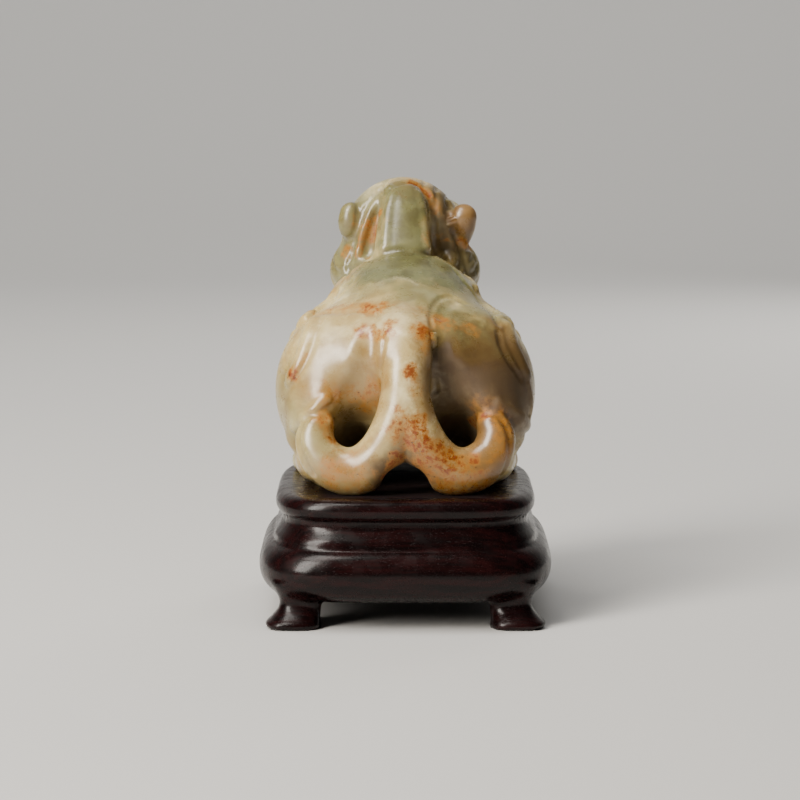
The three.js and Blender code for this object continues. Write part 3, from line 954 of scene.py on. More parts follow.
class Nodes:
    """A material's or a group's node tree, with short ways to add to it."""

    def __init__(self, tree: bpy.types.NodeTree) -> None:
        """Keeps the tree."""
        self.tree = tree

    def add(self, kind: str, **inputs: Any) -> bpy.types.Node:
        """Adds a node and sets or links its inputs, which are named with _ for a space.

        Args:
            kind: The node's type, without its ShaderNode prefix.
            inputs: Values or sockets for its inputs, or settings for its properties.

        Returns:
            The node.
        """
        node = self.tree.nodes.new("ShaderNode" + kind)
        for name, value in inputs.items():
            if hasattr(node, name) and name not in ("inputs", "outputs"):
                setattr(node, name, value)
        for name, value in inputs.items():
            if not hasattr(node, name):
                self.feed(node, name.replace("_", " "), value)
        return node

    def feed(self, node: bpy.types.Node, name: str | int, value: Any) -> None:
        """Links a socket to an input, or sets it to a value.

        Args:
            node: The node.
            name: The input's name or number.
            value: A socket or a value.
        """
        socket = node.inputs[name]
        if isinstance(value, bpy.types.NodeSocket):
            self.tree.links.new(value, socket)
        elif isinstance(value, tuple) and len(value) == 3 and socket.type == "RGBA":
            socket.default_value = (*value, 1.0)
        else:
            socket.default_value = value

    def maths(self, operation: str, *values: Any, clamp: bool = False) -> bpy.types.NodeSocket:
        """Adds a Math node and gives its output.

        Args:
            operation: What it works out.
            values: Its inputs, as sockets or numbers.
            clamp: Whether the result stays between 0 and 1.

        Returns:
            Its output.
        """
        node = self.tree.nodes.new("ShaderNodeMath")
        node.operation = operation
        node.use_clamp = clamp
        for slot, value in enumerate(values):
            self.feed(node, slot, value)
        return node.outputs[0]

    def vectors(self, operation: str, *values: Any) -> bpy.types.NodeSocket:
        """Adds a Vector Math node and gives its vector output, or its value where it measures.

        Args:
            operation: What it works out.
            values: Its inputs, as sockets, vectors or numbers.

        Returns:
            Its output.
        """
        node = self.tree.nodes.new("ShaderNodeVectorMath")
        node.operation = operation
        slots = (0, 3) if operation == "SCALE" else range(len(values))
        for slot, value in zip(slots, values):
            self.feed(node, slot, value)
        return node.outputs["Value" if operation in ("LENGTH", "DISTANCE", "DOT_PRODUCT") else "Vector"]

    def noise(
        self, vector: Any, scale: float, detail: float = 4, roughness: float = 0.5, distortion: float = 0
    ) -> bpy.types.Node:
        """Adds a Noise Texture on a vector."""
        settings = {"Scale": scale, "Detail": detail, "Roughness": roughness, "Distortion": distortion}
        return self.add("TexNoise", Vector=vector, **settings)

    def cloud(self, vector: Any, *settings: float) -> bpy.types.NodeSocket:
        """Adds a Noise Texture on a vector and gives its value."""
        return self.noise(vector, *settings).outputs["Fac"]

    def ramp(
        self, value: Any, low: float, high: float, start: float = 0, end: float = 1
    ) -> bpy.types.NodeSocket:
        """Maps a range smoothly to another one.

        Args:
            value: What is mapped.
            low: Where the range starts.
            high: Where it ends.
            start: What its start becomes.
            end: What its end becomes.

        Returns:
            The mapped value.
        """
        node = self.tree.nodes.new("ShaderNodeMapRange")
        node.interpolation_type = "SMOOTHSTEP"
        for slot, part in enumerate((value, low, high, start, end)):
            self.feed(node, slot, part)
        return node.outputs[0]

    def mix(self, share: Any, below: Any, above: Any) -> bpy.types.NodeSocket:
        """Mixes two colours.

        Args:
            share: Share of the upper colour.
            below: The lower colour.
            above: The upper colour.

        Returns:
            The mixed colour.
        """
        node = self.tree.nodes.new("ShaderNodeMix")
        node.data_type = "RGBA"
        for slot, part in ((0, share), (6, below), (7, above)):
            self.feed(node, slot, part)
        return node.outputs[2]


class Group:
    """A shader node group with named inputs and outputs."""

    def __init__(self, name: str) -> None:
        """Makes an empty group.

        Args:
            name: The group's name.
        """
        self.tree = bpy.data.node_groups.new(name, "ShaderNodeTree")
        self.nodes = Nodes(self.tree)
        self.entry: bpy.types.Node | None = None

    def takes(self, name: str, kind: str, value: Any = None) -> None:
        """Adds an input with its usual value.

        Args:
            name: The input's name.
            kind: Its kind of socket.
            value: Its usual value.
        """
        socket = self.tree.interface.new_socket(name, in_out="INPUT", socket_type="NodeSocket" + kind)
        if value is not None:
            socket.default_value = value

    def gives(self, name: str, kind: str, value: bpy.types.NodeSocket) -> None:
        """Adds an output and links it.

        Args:
            name: The output's name.
            kind: Its kind of socket.
            value: What it puts out.
        """
        self.tree.interface.new_socket(name, in_out="OUTPUT", socket_type="NodeSocket" + kind)
        leaving = next((n for n in self.tree.nodes if n.type == "GROUP_OUTPUT"), None)
        leaving = leaving or self.tree.nodes.new("NodeGroupOutput")
        self.tree.links.new(value, leaving.inputs[name])

    def input(self, name: str) -> bpy.types.NodeSocket:
        """The socket inside the group that brings in a named value."""
        self.entry = self.entry or self.tree.nodes.new("NodeGroupInput")
        return self.entry.outputs[name]

    def place(self, nodes: Nodes, **inputs: Any) -> bpy.types.Node:
        """Puts the group into a tree with its own values.

        Args:
            nodes: The nodes of that tree.
            inputs: Its values by name.

        Returns:
            The group's node.
        """
        node = nodes.tree.nodes.new("ShaderNodeGroup")
        node.node_tree = self.tree
        for name, value in inputs.items():
            nodes.feed(node, name.replace("_", " "), value)
        return node


def stain_group() -> Group:
    """A soft-edged patch round a place or along a streak, frayed by noise.

    Returns:
        The group.
    """
    group = Group("stain")
    group.takes("Place", "Vector")
    group.takes("Start", "Vector")
    group.takes("Way", "Vector")
    group.takes("Reach", "Float", 4.0)
    group.takes("Fraying", "Float", 0.6)
    group.takes("Edge", "Float", 0.5)
    nodes = group.nodes
    place, start, way = (group.input(name) for name in ("Place", "Start", "Way"))
    along = nodes.vectors("DOT_PRODUCT", nodes.vectors("SUBTRACT", place, start), way)
    length = nodes.maths("MAXIMUM", nodes.vectors("DOT_PRODUCT", way, way), 0.0001)
    passed = nodes.vectors("SCALE", way, nodes.maths("DIVIDE", along, length, clamp=True))
    away = nodes.vectors("DISTANCE", place, nodes.vectors("ADD", start, passed))
    share = nodes.maths("DIVIDE", away, group.input("Reach"))
    noise = nodes.cloud(place, 0.45, 5, 0.62)
    frayed = nodes.maths("MULTIPLY", nodes.maths("SUBTRACT", noise, 0.5), group.input("Fraying"))
    total = nodes.maths("ADD", share, nodes.maths("MULTIPLY", frayed, 2.5))
    low = nodes.maths("SUBTRACT", 1.0, group.input("Edge"))
    high = nodes.maths("ADD", 1.0, group.input("Edge"))
    group.gives("Mask", "Float", nodes.ramp(total, low, high, 1, 0))
    return group


def wear_group() -> Group:
    """Fine unevenness of a polished surface, for its roughness and its height.

    Returns:
        The group.
    """
    group = Group("hand_polish")
    group.takes("Place", "Vector")
    group.takes("Grain", "Float", 1.0)
    nodes = group.nodes
    place = nodes.vectors("SCALE", group.input("Place"), group.input("Grain"))
    broad = nodes.cloud(place, 0.35, 3, 0.5)
    fine = nodes.cloud(place, 2.6, 4, 0.6)
    total = nodes.maths("ADD", nodes.maths("MULTIPLY", broad, 0.7), nodes.maths("MULTIPLY", fine, 0.3))
    group.gives("Unevenness", "Float", total)
    group.gives("Height", "Float", nodes.maths("ADD", broad, nodes.maths("MULTIPLY", fine, 0.12)))
    return group


@dataclass(frozen=True)
class Stain:
    """A patch of colour on the jade that the photograph shows.

    Attributes:
        name: What the patch is.
        pixel: Its middle in the photograph, or the start of a streak.
        reach: Its radius, in millimetres.
        strength: How much it covers.
        fraying: How ragged it is.
        edge: How soft its edge is.
        end: Where a streak ends in the photograph.
    """

    name: str
    pixel: Pair
    reach: float
    strength: float = 1.0
    fraying: float = 0.6
    edge: float = 0.5
    end: Pair | None = None


SEEN_GREENS = (
    Stain("green mane", (404, 192), 4.6, 0.95, 0.3, 0.45, (406, 250)),
    Stain("green left of the head", (350, 215), 6.5, 0.85, 0.3, 0.5, (345, 262)),
    Stain("green left lock", (376, 200), 4.5, 0.7, 0.3, 0.5, (366, 250)),
    Stain("green nape", (388, 266), 7.5, 1.0, 0.3, 0.5, (440, 270)),
    Stain("green back", (418, 292), 6.0, 0.75, 0.5, 0.6),
    Stain("green left shoulder", (368, 284), 4.5, 0.6, 0.5, 0.6),
    Stain("green right shoulder", (462, 282), 4.5, 0.7, 0.5, 0.6, (486, 312)),
    Stain("green in the arch", (452, 314), 4.0, 0.8, 0.5, 0.6),
    Stain("green right haunch", (472, 348), 7.0, 1.0, 0.4, 0.6, (504, 366)),
    Stain("green right jowl", (474, 268), 5.0, 0.6, 0.4, 0.6),
    Stain("green left haunch", (282, 398), 5.0, 0.5, 0.4, 0.6, (290, 428)),
    Stain("green left curl", (306, 436), 4.0, 0.45, 0.6, 0.6, (326, 474)),
    Stain("green under the right curl", (494, 476), 4.5, 0.6, 0.6, 0.6),
)

SEEN_TANS = (
    Stain("right curl", (492, 424), 5.5, 1.0, 0.4, 0.5, (486, 456)),
    Stain("right curl, bottom", (432, 462), 5.5, 0.75, 0.5, 0.5, (470, 478)),
    Stain("tail split", (410, 440), 5.0, 0.55, 0.6, 0.6),
    Stain("left curl", (332, 478), 5.0, 0.55, 0.7, 0.6, (372, 476)),
    # Partly painted shade: the next three also warm and darken the shaded right side of the haunch, the wing
    # and the tail.
    Stain("right haunch", (478, 378), 8.5, 0.7, 0.4, 0.6, (510, 396)),
    Stain("right wing", (508, 338), 4.0, 0.7, 0.5, 0.6, (526, 380)),
    Stain("shaded side of the tail", (428, 340), 2.8, 0.8, 0.5, 0.7, (430, 410)),
    Stain("over the left pocket", (346, 372), 7.5, 0.6, 0.5, 0.7, (362, 400)),
    Stain("left of the left pocket", (322, 392), 4.5, 0.5, 0.6, 0.7, (340, 400)),
    Stain("right ear", (466, 218), 3.6, 1.0, 0.2, 0.4),
    Stain("left temple", (366, 228), 3.0, 0.35, 0.8, 0.7),
    Stain("crown", (414, 184), 4.0, 0.4, 0.8, 0.7, (448, 200)),
    Stain("rump", (330, 318), 4.5, 0.3, 0.8, 0.7, (420, 318)),
)

# Painted shade, partly the stone's brown skin: brown and purple in the hollows, the pockets beside the tail
# and over the shaded right side.
SEEN_BROWNS_AND_PAINTED_SHADE = (
    Stain("hollow between the curls", (404, 476), 6.0, 1.0, 0.1, 0.4),
    Stain("purple right of the mane", (438, 200), 3.2, 0.75, 0.5, 0.6, (446, 246)),
    Stain("purple under the right ear", (462, 236), 2.6, 0.6, 0.5, 0.6, (470, 268)),
    Stain("brown beside the tail", (442, 352), 2.4, 0.9, 0.4, 0.7, (446, 410)),
    Stain("brown over the right pocket", (456, 384), 5.5, 0.85, 0.4, 0.7, (462, 410)),
    Stain("brown in the right pocket", (452, 428), 6.5, 1.0, 0.2, 0.5),
    Stain("brown in the left pocket", (350, 436), 4.5, 0.9, 0.2, 0.5),
    Stain("brown over the left pocket", (352, 414), 3.0, 0.5, 0.6, 0.7, (366, 412)),
    Stain("brown right thigh", (490, 386), 7.0, 0.8, 0.5, 0.7, (522, 398)),
    Stain("brown under the right wing", (510, 344), 4.0, 0.6, 0.5, 0.7, (530, 400)),
)

SEEN_RUSSETS = (
    Stain("crown streak", (412, 182), 1.0, 1.0, 0.7, 0.6, (428, 196)),
    Stain("streak by the mane", (428, 196), 1.1, 0.5, 0.9, 0.6, (438, 210)),
    Stain("lock streak", (380, 212), 0.7, 0.8, 0.7, 0.6, (360, 240)),
    Stain("left jowl spot", (346, 253), 1.3, 0.7, 0.8, 0.6),
    Stain("over the left wing", (314, 314), 1.1, 0.5, 1.0, 0.7, (348, 306)),
    Stain("rump spot, left", (366, 307), 1.5, 0.9, 0.9, 0.6, (372, 310)),
    Stain("rump spot, middle", (382, 307), 1.5, 0.7, 1.0, 0.7),
    Stain("rump band", (336, 312), 1.6, 0.35, 1.2, 0.7, (424, 312)),
    Stain("band left of the tail", (362, 331), 1.5, 0.75, 1.1, 0.7, (378, 334)),
    Stain("spot on the tail's root", (387, 329), 1.9, 0.9, 1.0, 0.6),
    Stain("arch edge", (420, 331), 1.5, 1.0, 1.0, 0.6, (427, 333)),
    Stain("tail's right edge", (428, 318), 1.0, 0.6, 1.0, 0.7, (427, 350)),
    Stain("spot in the arch", (441, 322), 2.0, 0.75, 0.9, 0.7),
    Stain("right of the arch", (468, 328), 1.2, 0.45, 1.2, 0.7, (474, 331)),
    Stain("small spot on the tail", (411, 372), 1.3, 1.0, 1.0, 0.6),
    Stain("faint spot on the tail", (416, 388), 1.7, 0.5, 1.0, 0.7),
    Stain("edge of the left pocket", (376, 384), 1.5, 0.7, 1.0, 0.7, (366, 408)),
    Stain("over the left pocket", (326, 394), 2.0, 0.6, 1.3, 0.7, (352, 396)),
    Stain("left of the left pocket", (326, 418), 1.6, 0.85, 0.8, 0.7, (332, 436)),
    Stain("tail split", (408, 430), 3.2, 0.9, 1.3, 0.6),
    Stain("notch, left", (396, 458), 1.5, 1.0, 0.9, 0.6, (388, 474)),
    Stain("notch, right", (420, 446), 2.2, 1.0, 1.0, 0.6, (430, 456)),
    Stain("bottom of the right pocket", (434, 454), 2.4, 1.0, 1.0, 0.6, (452, 462)),
    Stain("right curl, bottom", (430, 474), 3.6, 0.7, 1.4, 0.7, (474, 484)),
    Stain("right curl, outer side", (500, 420), 2.0, 0.6, 1.0, 0.7, (504, 450)),
    Stain("right curl, tip", (474, 422), 1.2, 1.0, 0.8, 0.6, (486, 416)),
    Stain("right curl, red spot", (473, 459), 1.2, 1.3, 0.6, 0.5),
    Stain("left curl, ring", (330, 466), 1.6, 0.7, 1.2, 0.7, (334, 482)),
    Stain("left curl, speckles", (344, 470), 3.4, 0.55, 1.5, 0.7, (356, 480)),
    Stain("left haunch spot", (293, 375), 1.2, 1.0, 0.8, 0.6),
    Stain("line from the left haunch spot", (296, 370), 0.8, 0.5, 1.0, 0.7, (306, 356)),
    Stain("over the right curl", (474, 406), 1.4, 0.35, 1.2, 0.7, (488, 402)),
    Stain("under the right ear", (462, 240), 1.1, 0.8, 0.7, 0.6, (468, 246)),
)


@dataclass(frozen=True)
class PaintedShade:
    """A painted shade in a carved line of the face, on both sides of it.

    Attributes:
        name: What the painted shade darkens.
        start: Where it starts, as the beast is drawn.
        end: Where it ends.
        reach: Half its width, in millimetres.
        strength: How much it covers.
        fraying: How ragged it is.
        edge: How soft its edge is.
    """

    name: str
    start: Point
    end: Point
    reach: float
    strength: float
    fraying: float = 0.15
    edge: float = 0.6


# Painted shade in the face's carved lines: pupils, lids, nostrils, mouth and beard.
FACE_PAINTED_SHADES = (
    PaintedShade("pupil", (6.3, 27.4, 41.2), (6.3, 27.4, 41.2), 1.1, 0.75),
    PaintedShade("upper lid", (4, 28, 42.6), (8.2, 26, 43.2), 0.6, 0.55),
    PaintedShade("inner corner of the eye", (3.9, 27.6, 40.4), (4, 28, 42.4), 0.6, 0.5),
    PaintedShade("nostril", (1.6, 30, 38.3), (2.2, 29.8, 38), 0.8, 0.8),
    PaintedShade("mouth", (0, 29.6, 32.2), (5, 28, 32.4), 0.9, 0.7),
    PaintedShade("corner of the mouth", (5, 28, 32.4), (8.8, 24.6, 34.4), 0.8, 0.65),
    PaintedShade("between the locks of the beard", (1.9, 26.6, 25), (2.1, 26, 20), 0.6, 0.5),
)

# This painted shade darkens the hollow under the tail; it is placed where it is on the finished beast, and
# only once
HOLLOW_PAINTED_SHADE = PaintedShade("hollow under the tail", (0.0, -21.0, 0.5), (0.0, -5.0, 0.5), 4.7, 1.0, 0.0, 0.12)


@dataclass(frozen=True)
class Jade:
    """Cream and celadon jade with russet skin in its cracks, under a high polish.

    Attributes:
        stain: The stain group.
        polish: The polish group.
        beast: The beast, which says where on it each patch is.
        honey: Darkest clouds of the ground.
        cream: Its middle.
        ivory: Its lightest clouds.
        celadon: Light green.
        moss: Dark green.
        brown: Painted shade in deep hollows, pockets and carved lines, partly the stone's brown skin.
        tan: Warm patches.
        amber: Edge of the russet.
        rust: Heart of the russet.
        umber: Specks in the russet.
        roughness: Roughness of the polished surface.
        matt: Roughness of the hollows.
        coat: Strength of the polish.
        coat_roughness: Its roughness.
        density: How strongly the stone refracts.
        translucency: How much light goes into it.
        depth: How deep the light goes, in metres.
        depth_by_colour: The same for red, green and blue, as a share.
    """

    stain: Group
    polish: Group
    beast: Beast
    honey: Colour = (0.36, 0.23, 0.07)
    cream: Colour = (0.5, 0.385, 0.165)
    ivory: Colour = (0.68, 0.58, 0.32)
    celadon: Colour = (0.1, 0.11, 0.042)
    moss: Colour = (0.05, 0.057, 0.021)
    brown: Colour = (0.03, 0.011, 0.0035)
    tan: Colour = (0.2, 0.1, 0.027)
    amber: Colour = (0.36, 0.15, 0.02)
    rust: Colour = (0.2, 0.04, 0.006)
    umber: Colour = (0.05, 0.011, 0.004)
    roughness: float = 0.3
    matt: float = 0.75
    coat: float = 0.25
    coat_roughness: float = 0.18
    density: float = 1.55
    translucency: float = 0.3
    depth: float = 0.004
    depth_by_colour: Colour = (1.0, 0.75, 0.42)

    def make(self) -> bpy.types.Material:
        """Builds the material.

        Returns:
            The material.
        """
        material = bpy.data.materials.new("jade")
        material.use_nodes = True
        nodes = Nodes(material.node_tree)
        shader = material.node_tree.nodes["Principled BSDF"]
        coordinates = nodes.add("TexCoord").outputs["Object"]
        scaled = nodes.vectors("SCALE", coordinates, 1 / MM)
        place = nodes.vectors("SUBTRACT", scaled, (0.0, 0.0, self.beast.seat))
        warp = nodes.vectors("SUBTRACT", nodes.noise(place, 0.22, 3).outputs["Color"], (0.5, 0.5, 0.5))
        bent = nodes.vectors("ADD", place, nodes.vectors("SCALE", warp, 5.0))
        ahead = nodes.ramp(nodes.add("SeparateXYZ", Vector=place).outputs["Y"], 0, 12)
        colour = self._greened(nodes, bent, place, ahead, self._ground(nodes, bent))
        tan = self._patches(nodes, bent, SEEN_TANS)
        colour = nodes.mix(nodes.maths("MULTIPLY", tan, 0.9), colour, self.tan)
        # Painted shade, partly the stone's brown skin: brown over the hollows, the pockets, the shaded right
        # side and the face's carved lines.
        shade = self._shade(nodes, bent, place)
        colour = nodes.mix(nodes.maths("MULTIPLY", shade, 0.85), colour, self.brown)
        nodes.feed(shader, "Base Color", self._rusted(nodes, bent, place, ahead, colour))
        wear = self.polish.place(nodes, Place=place, Grain=1.0)
        even = wear.outputs["Unevenness"]
        rough = nodes.ramp(even, 0.3, 0.7, self.roughness * 0.75, self.roughness * 1.3)
        matt = nodes.ramp(shade, 0.35, 0.95)
        rough = nodes.maths("MAXIMUM", rough, nodes.maths("MULTIPLY", matt, self.matt))
        nodes.feed(shader, "Roughness", rough)
        gloss = nodes.maths("MULTIPLY", nodes.maths("SUBTRACT", 1.0, matt), self.coat)
        nodes.feed(shader, "Coat Weight", gloss)
        bump = nodes.add("Bump", Strength=0.12, Distance=0.0004, Height=wear.outputs["Height"])
        nodes.feed(shader, "Normal", bump.outputs["Normal"])
        shader.inputs["Subsurface Weight"].default_value = self.translucency
        shader.inputs["Subsurface Scale"].default_value = self.depth
        shader.inputs["Subsurface Radius"].default_value = self.depth_by_colour
        shader.inputs["IOR"].default_value = self.density
        shader.inputs["Coat Roughness"].default_value = self.coat_roughness
        return material

    def _ground(self, nodes: Nodes, bent: bpy.types.NodeSocket) -> bpy.types.NodeSocket:
        """The clouded cream ground.

        Args:
            nodes: The material's nodes.
            bent: Place in the stone, bent by its growth.

        Returns:
            The colour.
        """
        clouds = nodes.cloud(bent, 0.14, 6, 0.55)
        colour = nodes.mix(nodes.ramp(clouds, 0.3, 0.5), self.honey, self.cream)
        return nodes.mix(nodes.ramp(clouds, 0.48, 0.68), colour, self.ivory)

    def _greened(
        self,
        nodes: Nodes,
        bent: bpy.types.NodeSocket,
        place: bpy.types.NodeSocket,
        ahead: bpy.types.NodeSocket,
        below: bpy.types.NodeSocket,
    ) -> bpy.types.NodeSocket:
        """Green over the ground: where the photograph shows it, and in drifts over the front.

        Args:
            nodes: The material's nodes.
            bent: Place in the stone, bent by its growth.
            place: Place in the stone.
            ahead: Share of the front, which the photograph doesn't show.
            below: The colour under it.

        Returns:
            The new colour.
        """
        green = self._patches(nodes, bent, SEEN_GREENS)
        drift = nodes.ramp(nodes.cloud(place, 0.08, 3), 0.48, 0.6, 0, 0.8)
        green = nodes.maths("MAXIMUM", green, nodes.maths("MULTIPLY", ahead, drift))
        tone = nodes.ramp(nodes.cloud(bent, 0.3, 5, 0.6), 0.42, 0.62)
        moss = nodes.mix(tone, self.celadon, self.moss)
        return nodes.mix(nodes.maths("MULTIPLY", green, 0.9), below, moss)

    def _shade(
        self, nodes: Nodes, bent: bpy.types.NodeSocket, place: bpy.types.NodeSocket
    ) -> bpy.types.NodeSocket:
        """Mask of the painted shade, partly brown skin, in hollows, pockets and carved lines, which also keep
        less polish.

        Args:
            nodes: The material's nodes.
            bent: Place in the stone, bent by its growth.
            place: Place in the stone.

        Returns:
            The mask.
        """
        hollow = self._spread(nodes, place, HOLLOW_PAINTED_SHADE, np.array(HOLLOW_PAINTED_SHADE.start), np.array(HOLLOW_PAINTED_SHADE.end))
        shade = nodes.maths("MAXIMUM", self._patches(nodes, bent, SEEN_BROWNS_AND_PAINTED_SHADE), hollow)
        return nodes.maths("MAXIMUM", shade, self._face_painted_shades(nodes, place))

    def _rusted(
        self,
        nodes: Nodes,
        bent: bpy.types.NodeSocket,
        place: bpy.types.NodeSocket,
        ahead: bpy.types.NodeSocket,
        below: bpy.types.NodeSocket,
    ) -> bpy.types.NodeSocket:
        """Russet skin over the rest: amber at its edge, rust inside, with dark specks.

        Args:
            nodes: The material's nodes.
            bent: Place in the stone, bent by its growth.
            place: Place in the stone.
            ahead: Share of the front, which the photograph doesn't show.
            below: The colour under it.

        Returns:
            The new colour.
        """
        veins = nodes.ramp(nodes.cloud(bent, 0.12, 4, 0.6), 0.56, 0.68, 0, 0.75)
        russet = self._patches(nodes, place, SEEN_RUSSETS)
        russet = nodes.maths("MAXIMUM", russet, nodes.maths("MULTIPLY", ahead, veins))
        grain = nodes.ramp(nodes.cloud(place, 1.0, 8, 0.68, 0.2), 0.34, 0.66, 0.3, 1.2)
        eaten = nodes.maths("MULTIPLY", russet, grain)
        colour = nodes.mix(nodes.ramp(eaten, 0.0, 0.75, 0, 0.85), below, self.amber)
        colour = nodes.mix(nodes.ramp(eaten, 0.55, 1.05, 0, 0.9), colour, self.rust)
        specks = nodes.ramp(nodes.cloud(place, 2.2, 3, 0.6), 0.62, 0.7)
        specks = nodes.maths("MULTIPLY", specks, nodes.ramp(russet, 0.1, 0.6, 0, 0.9))
        return nodes.mix(specks, colour, self.umber)

    def _spread(
        self, nodes: Nodes, place: bpy.types.NodeSocket, mark: Stain | PaintedShade, start: Array, end: Array
    ) -> bpy.types.NodeSocket:
        """The mask of one stain or painted shade.

        Args:
            nodes: The material's nodes.
            place: Place in the stone.
            mark: The stain or painted shade.
            start: Where it starts on the beast.
            end: Where it ends.

        Returns:
            The mask, as strong as the mark.
        """
        mask = self.stain.place(nodes, Place=place, Reach=mark.reach, Fraying=mark.fraying, Edge=mark.edge)
        nodes.feed(mask, "Start", tuple(float(value) for value in start))
        nodes.feed(mask, "Way", tuple(float(value) for value in end - start))
        return nodes.maths("MULTIPLY", mask.outputs["Mask"], mark.strength)

    def _face_painted_shades(self, nodes: Nodes, place: bpy.types.NodeSocket) -> bpy.types.NodeSocket:
        """The masks of the painted shade in the face's carved lines, on its left and its right.

        Args:
            nodes: The material's nodes.
            place: Place in the stone.

        Returns:
            The mask.
        """
        total: Any = 0.0
        for side in (-1, 1):
            starts = self.beast.laid(*[(side * tint.start[0], *tint.start[1:]) for tint in FACE_PAINTED_SHADES])
            ends = self.beast.laid(*[(side * tint.end[0], *tint.end[1:]) for tint in FACE_PAINTED_SHADES])
            for start, end, tint in zip(starts, ends, FACE_PAINTED_SHADES):
                total = nodes.maths("MAXIMUM", total, self._spread(nodes, place, tint, start, end))
        return total

    def _patches(
        self, nodes: Nodes, place: bpy.types.NodeSocket, stains: Sequence[Stain]
    ) -> bpy.types.NodeSocket:
        """The masks of several stains together.

        Args:
            nodes: The material's nodes.
            place: Place in the stone.
            stains: The stains.

        Returns:
            The mask.
        """
        total: Any = 0.0
        starts = self.beast.seen(*[patch.pixel for patch in stains])
        ends = self.beast.seen(*[patch.end or patch.pixel for patch in stains])
        for start, end, patch in zip(starts, ends, stains):
            total = nodes.maths("MAXIMUM", total, self._spread(nodes, place, patch, start, end))
        return total


@dataclass(frozen=True)
class DarkWood:
    """Dense dark red-brown wood with fine pores, oiled and polished by hand.

    Attributes:
        polish: The polish group.
        top: Height of the stand's top, in millimetres.
        dark: Its dark streaks.
        red: Its red streaks.
        roughness: Roughness of the polished wood.
        dull: How much rougher the place under the beast is, where no hand polishes.
        seat: Half the width and half the depth of that place, in millimetres.
        rim: Over how many millimetres it passes into the polish.
        coat: Strength of the polish.
        coat_roughness: Its roughness.
        density: How strongly the oiled wood refracts.
        gleam: How strongly it mirrors, where 0.5 is usual.
    """

    polish: Group
    top: float
    dark: Colour = (0.0035, 0.0013, 0.0013)
    red: Colour = (0.013, 0.0028, 0.0028)
    roughness: float = 0.26
    dull: float = 0.6
    seat: Pair = (12.0, 22.0)
    rim: float = 3.0
    coat: float = 0.12
    coat_roughness: float = 0.14
    density: float = 1.32
    gleam: float = 0.35

    def make(self) -> bpy.types.Material:
        """Builds the material.

        Returns:
            The material.
        """
        material = bpy.data.materials.new("dark_wood")
        material.use_nodes = True
        nodes = Nodes(material.node_tree)
        shader = material.node_tree.nodes["Principled BSDF"]
        coordinates = nodes.add("TexCoord").outputs["Object"]
        place = nodes.vectors("SCALE", coordinates, 1 / MM)
        streaks = nodes.cloud(nodes.vectors("MULTIPLY", place, (0.12, 1.0, 1.0)), 0.9, 6, 0.65, 0.3)
        colour = nodes.mix(nodes.ramp(streaks, 0.38, 0.68), self.dark, self.red)
        nodes.feed(shader, "Base Color", colour)
        pores = nodes.cloud(nodes.vectors("MULTIPLY", place, (0.35, 1.0, 1.0)), 5.0, 2, 0.5)
        pits = nodes.ramp(pores, 0.62, 0.7)
        wear = self.polish.place(nodes, Place=place, Grain=1.2)
        even = wear.outputs["Unevenness"]
        rough = nodes.ramp(even, 0.3, 0.7, self.roughness * 0.7, self.roughness * 1.35)
        rough = nodes.maths("ADD", rough, nodes.maths("MULTIPLY", pits, 0.25))
        seat = self._seat(nodes, place)
        rough = nodes.maths("ADD", rough, nodes.maths("MULTIPLY", seat, self.dull), clamp=True)
        nodes.feed(shader, "Roughness", rough)
        shine = nodes.maths("SUBTRACT", 1.0, seat)
        nodes.feed(shader, "Coat Weight", nodes.maths("MULTIPLY", shine, self.coat))
        height = nodes.maths("SUBTRACT", nodes.maths("MULTIPLY", wear.outputs["Height"], 0.5), pits)
        bump = nodes.add("Bump", Strength=0.14, Distance=0.00012, Height=height)
        nodes.feed(shader, "Normal", bump.outputs["Normal"])
        shader.inputs["Coat Roughness"].default_value = self.coat_roughness
        shader.inputs["IOR"].default_value = self.density
        shader.inputs["Specular IOR Level"].default_value = self.gleam
        return material

    def _seat(self, nodes: Nodes, place: bpy.types.NodeSocket) -> bpy.types.NodeSocket:
        """Mask of the dull place under the beast, on the stand's top.

        Args:
            nodes: The material's nodes.
            place: Place in the wood.

        Returns:
            The mask.
        """
        parts = nodes.add("SeparateXYZ", Vector=place).outputs
        mask = nodes.ramp(parts["Z"], self.top - 0.5, self.top - 0.2)
        for axis, half in zip("XY", self.seat):
            inside = nodes.ramp(nodes.maths("ABSOLUTE", parts[axis]), half, half + self.rim, 1, 0)
            mask = nodes.maths("MULTIPLY", mask, inside)
        return mask


@dataclass(frozen=True)
class Lamp:
    """A soft rectangular light.

    Attributes:
        name: Its name.
        place: Where it stands, in metres.
        size: Its width.
        power: Its power in watts.
        colour: Its colour.
        aim: What it is turned to.
        stretch: Its height as a share of its width.
        mirrored: Whether polished surfaces mirror it.
    """

    name: str
    place: Point
    size: float
    power: float
    colour: Colour = (1.0, 1.0, 1.0)
    aim: Point = (0.0, 0.0, 0.035)
    stretch: float = 1.0
    mirrored: bool = True


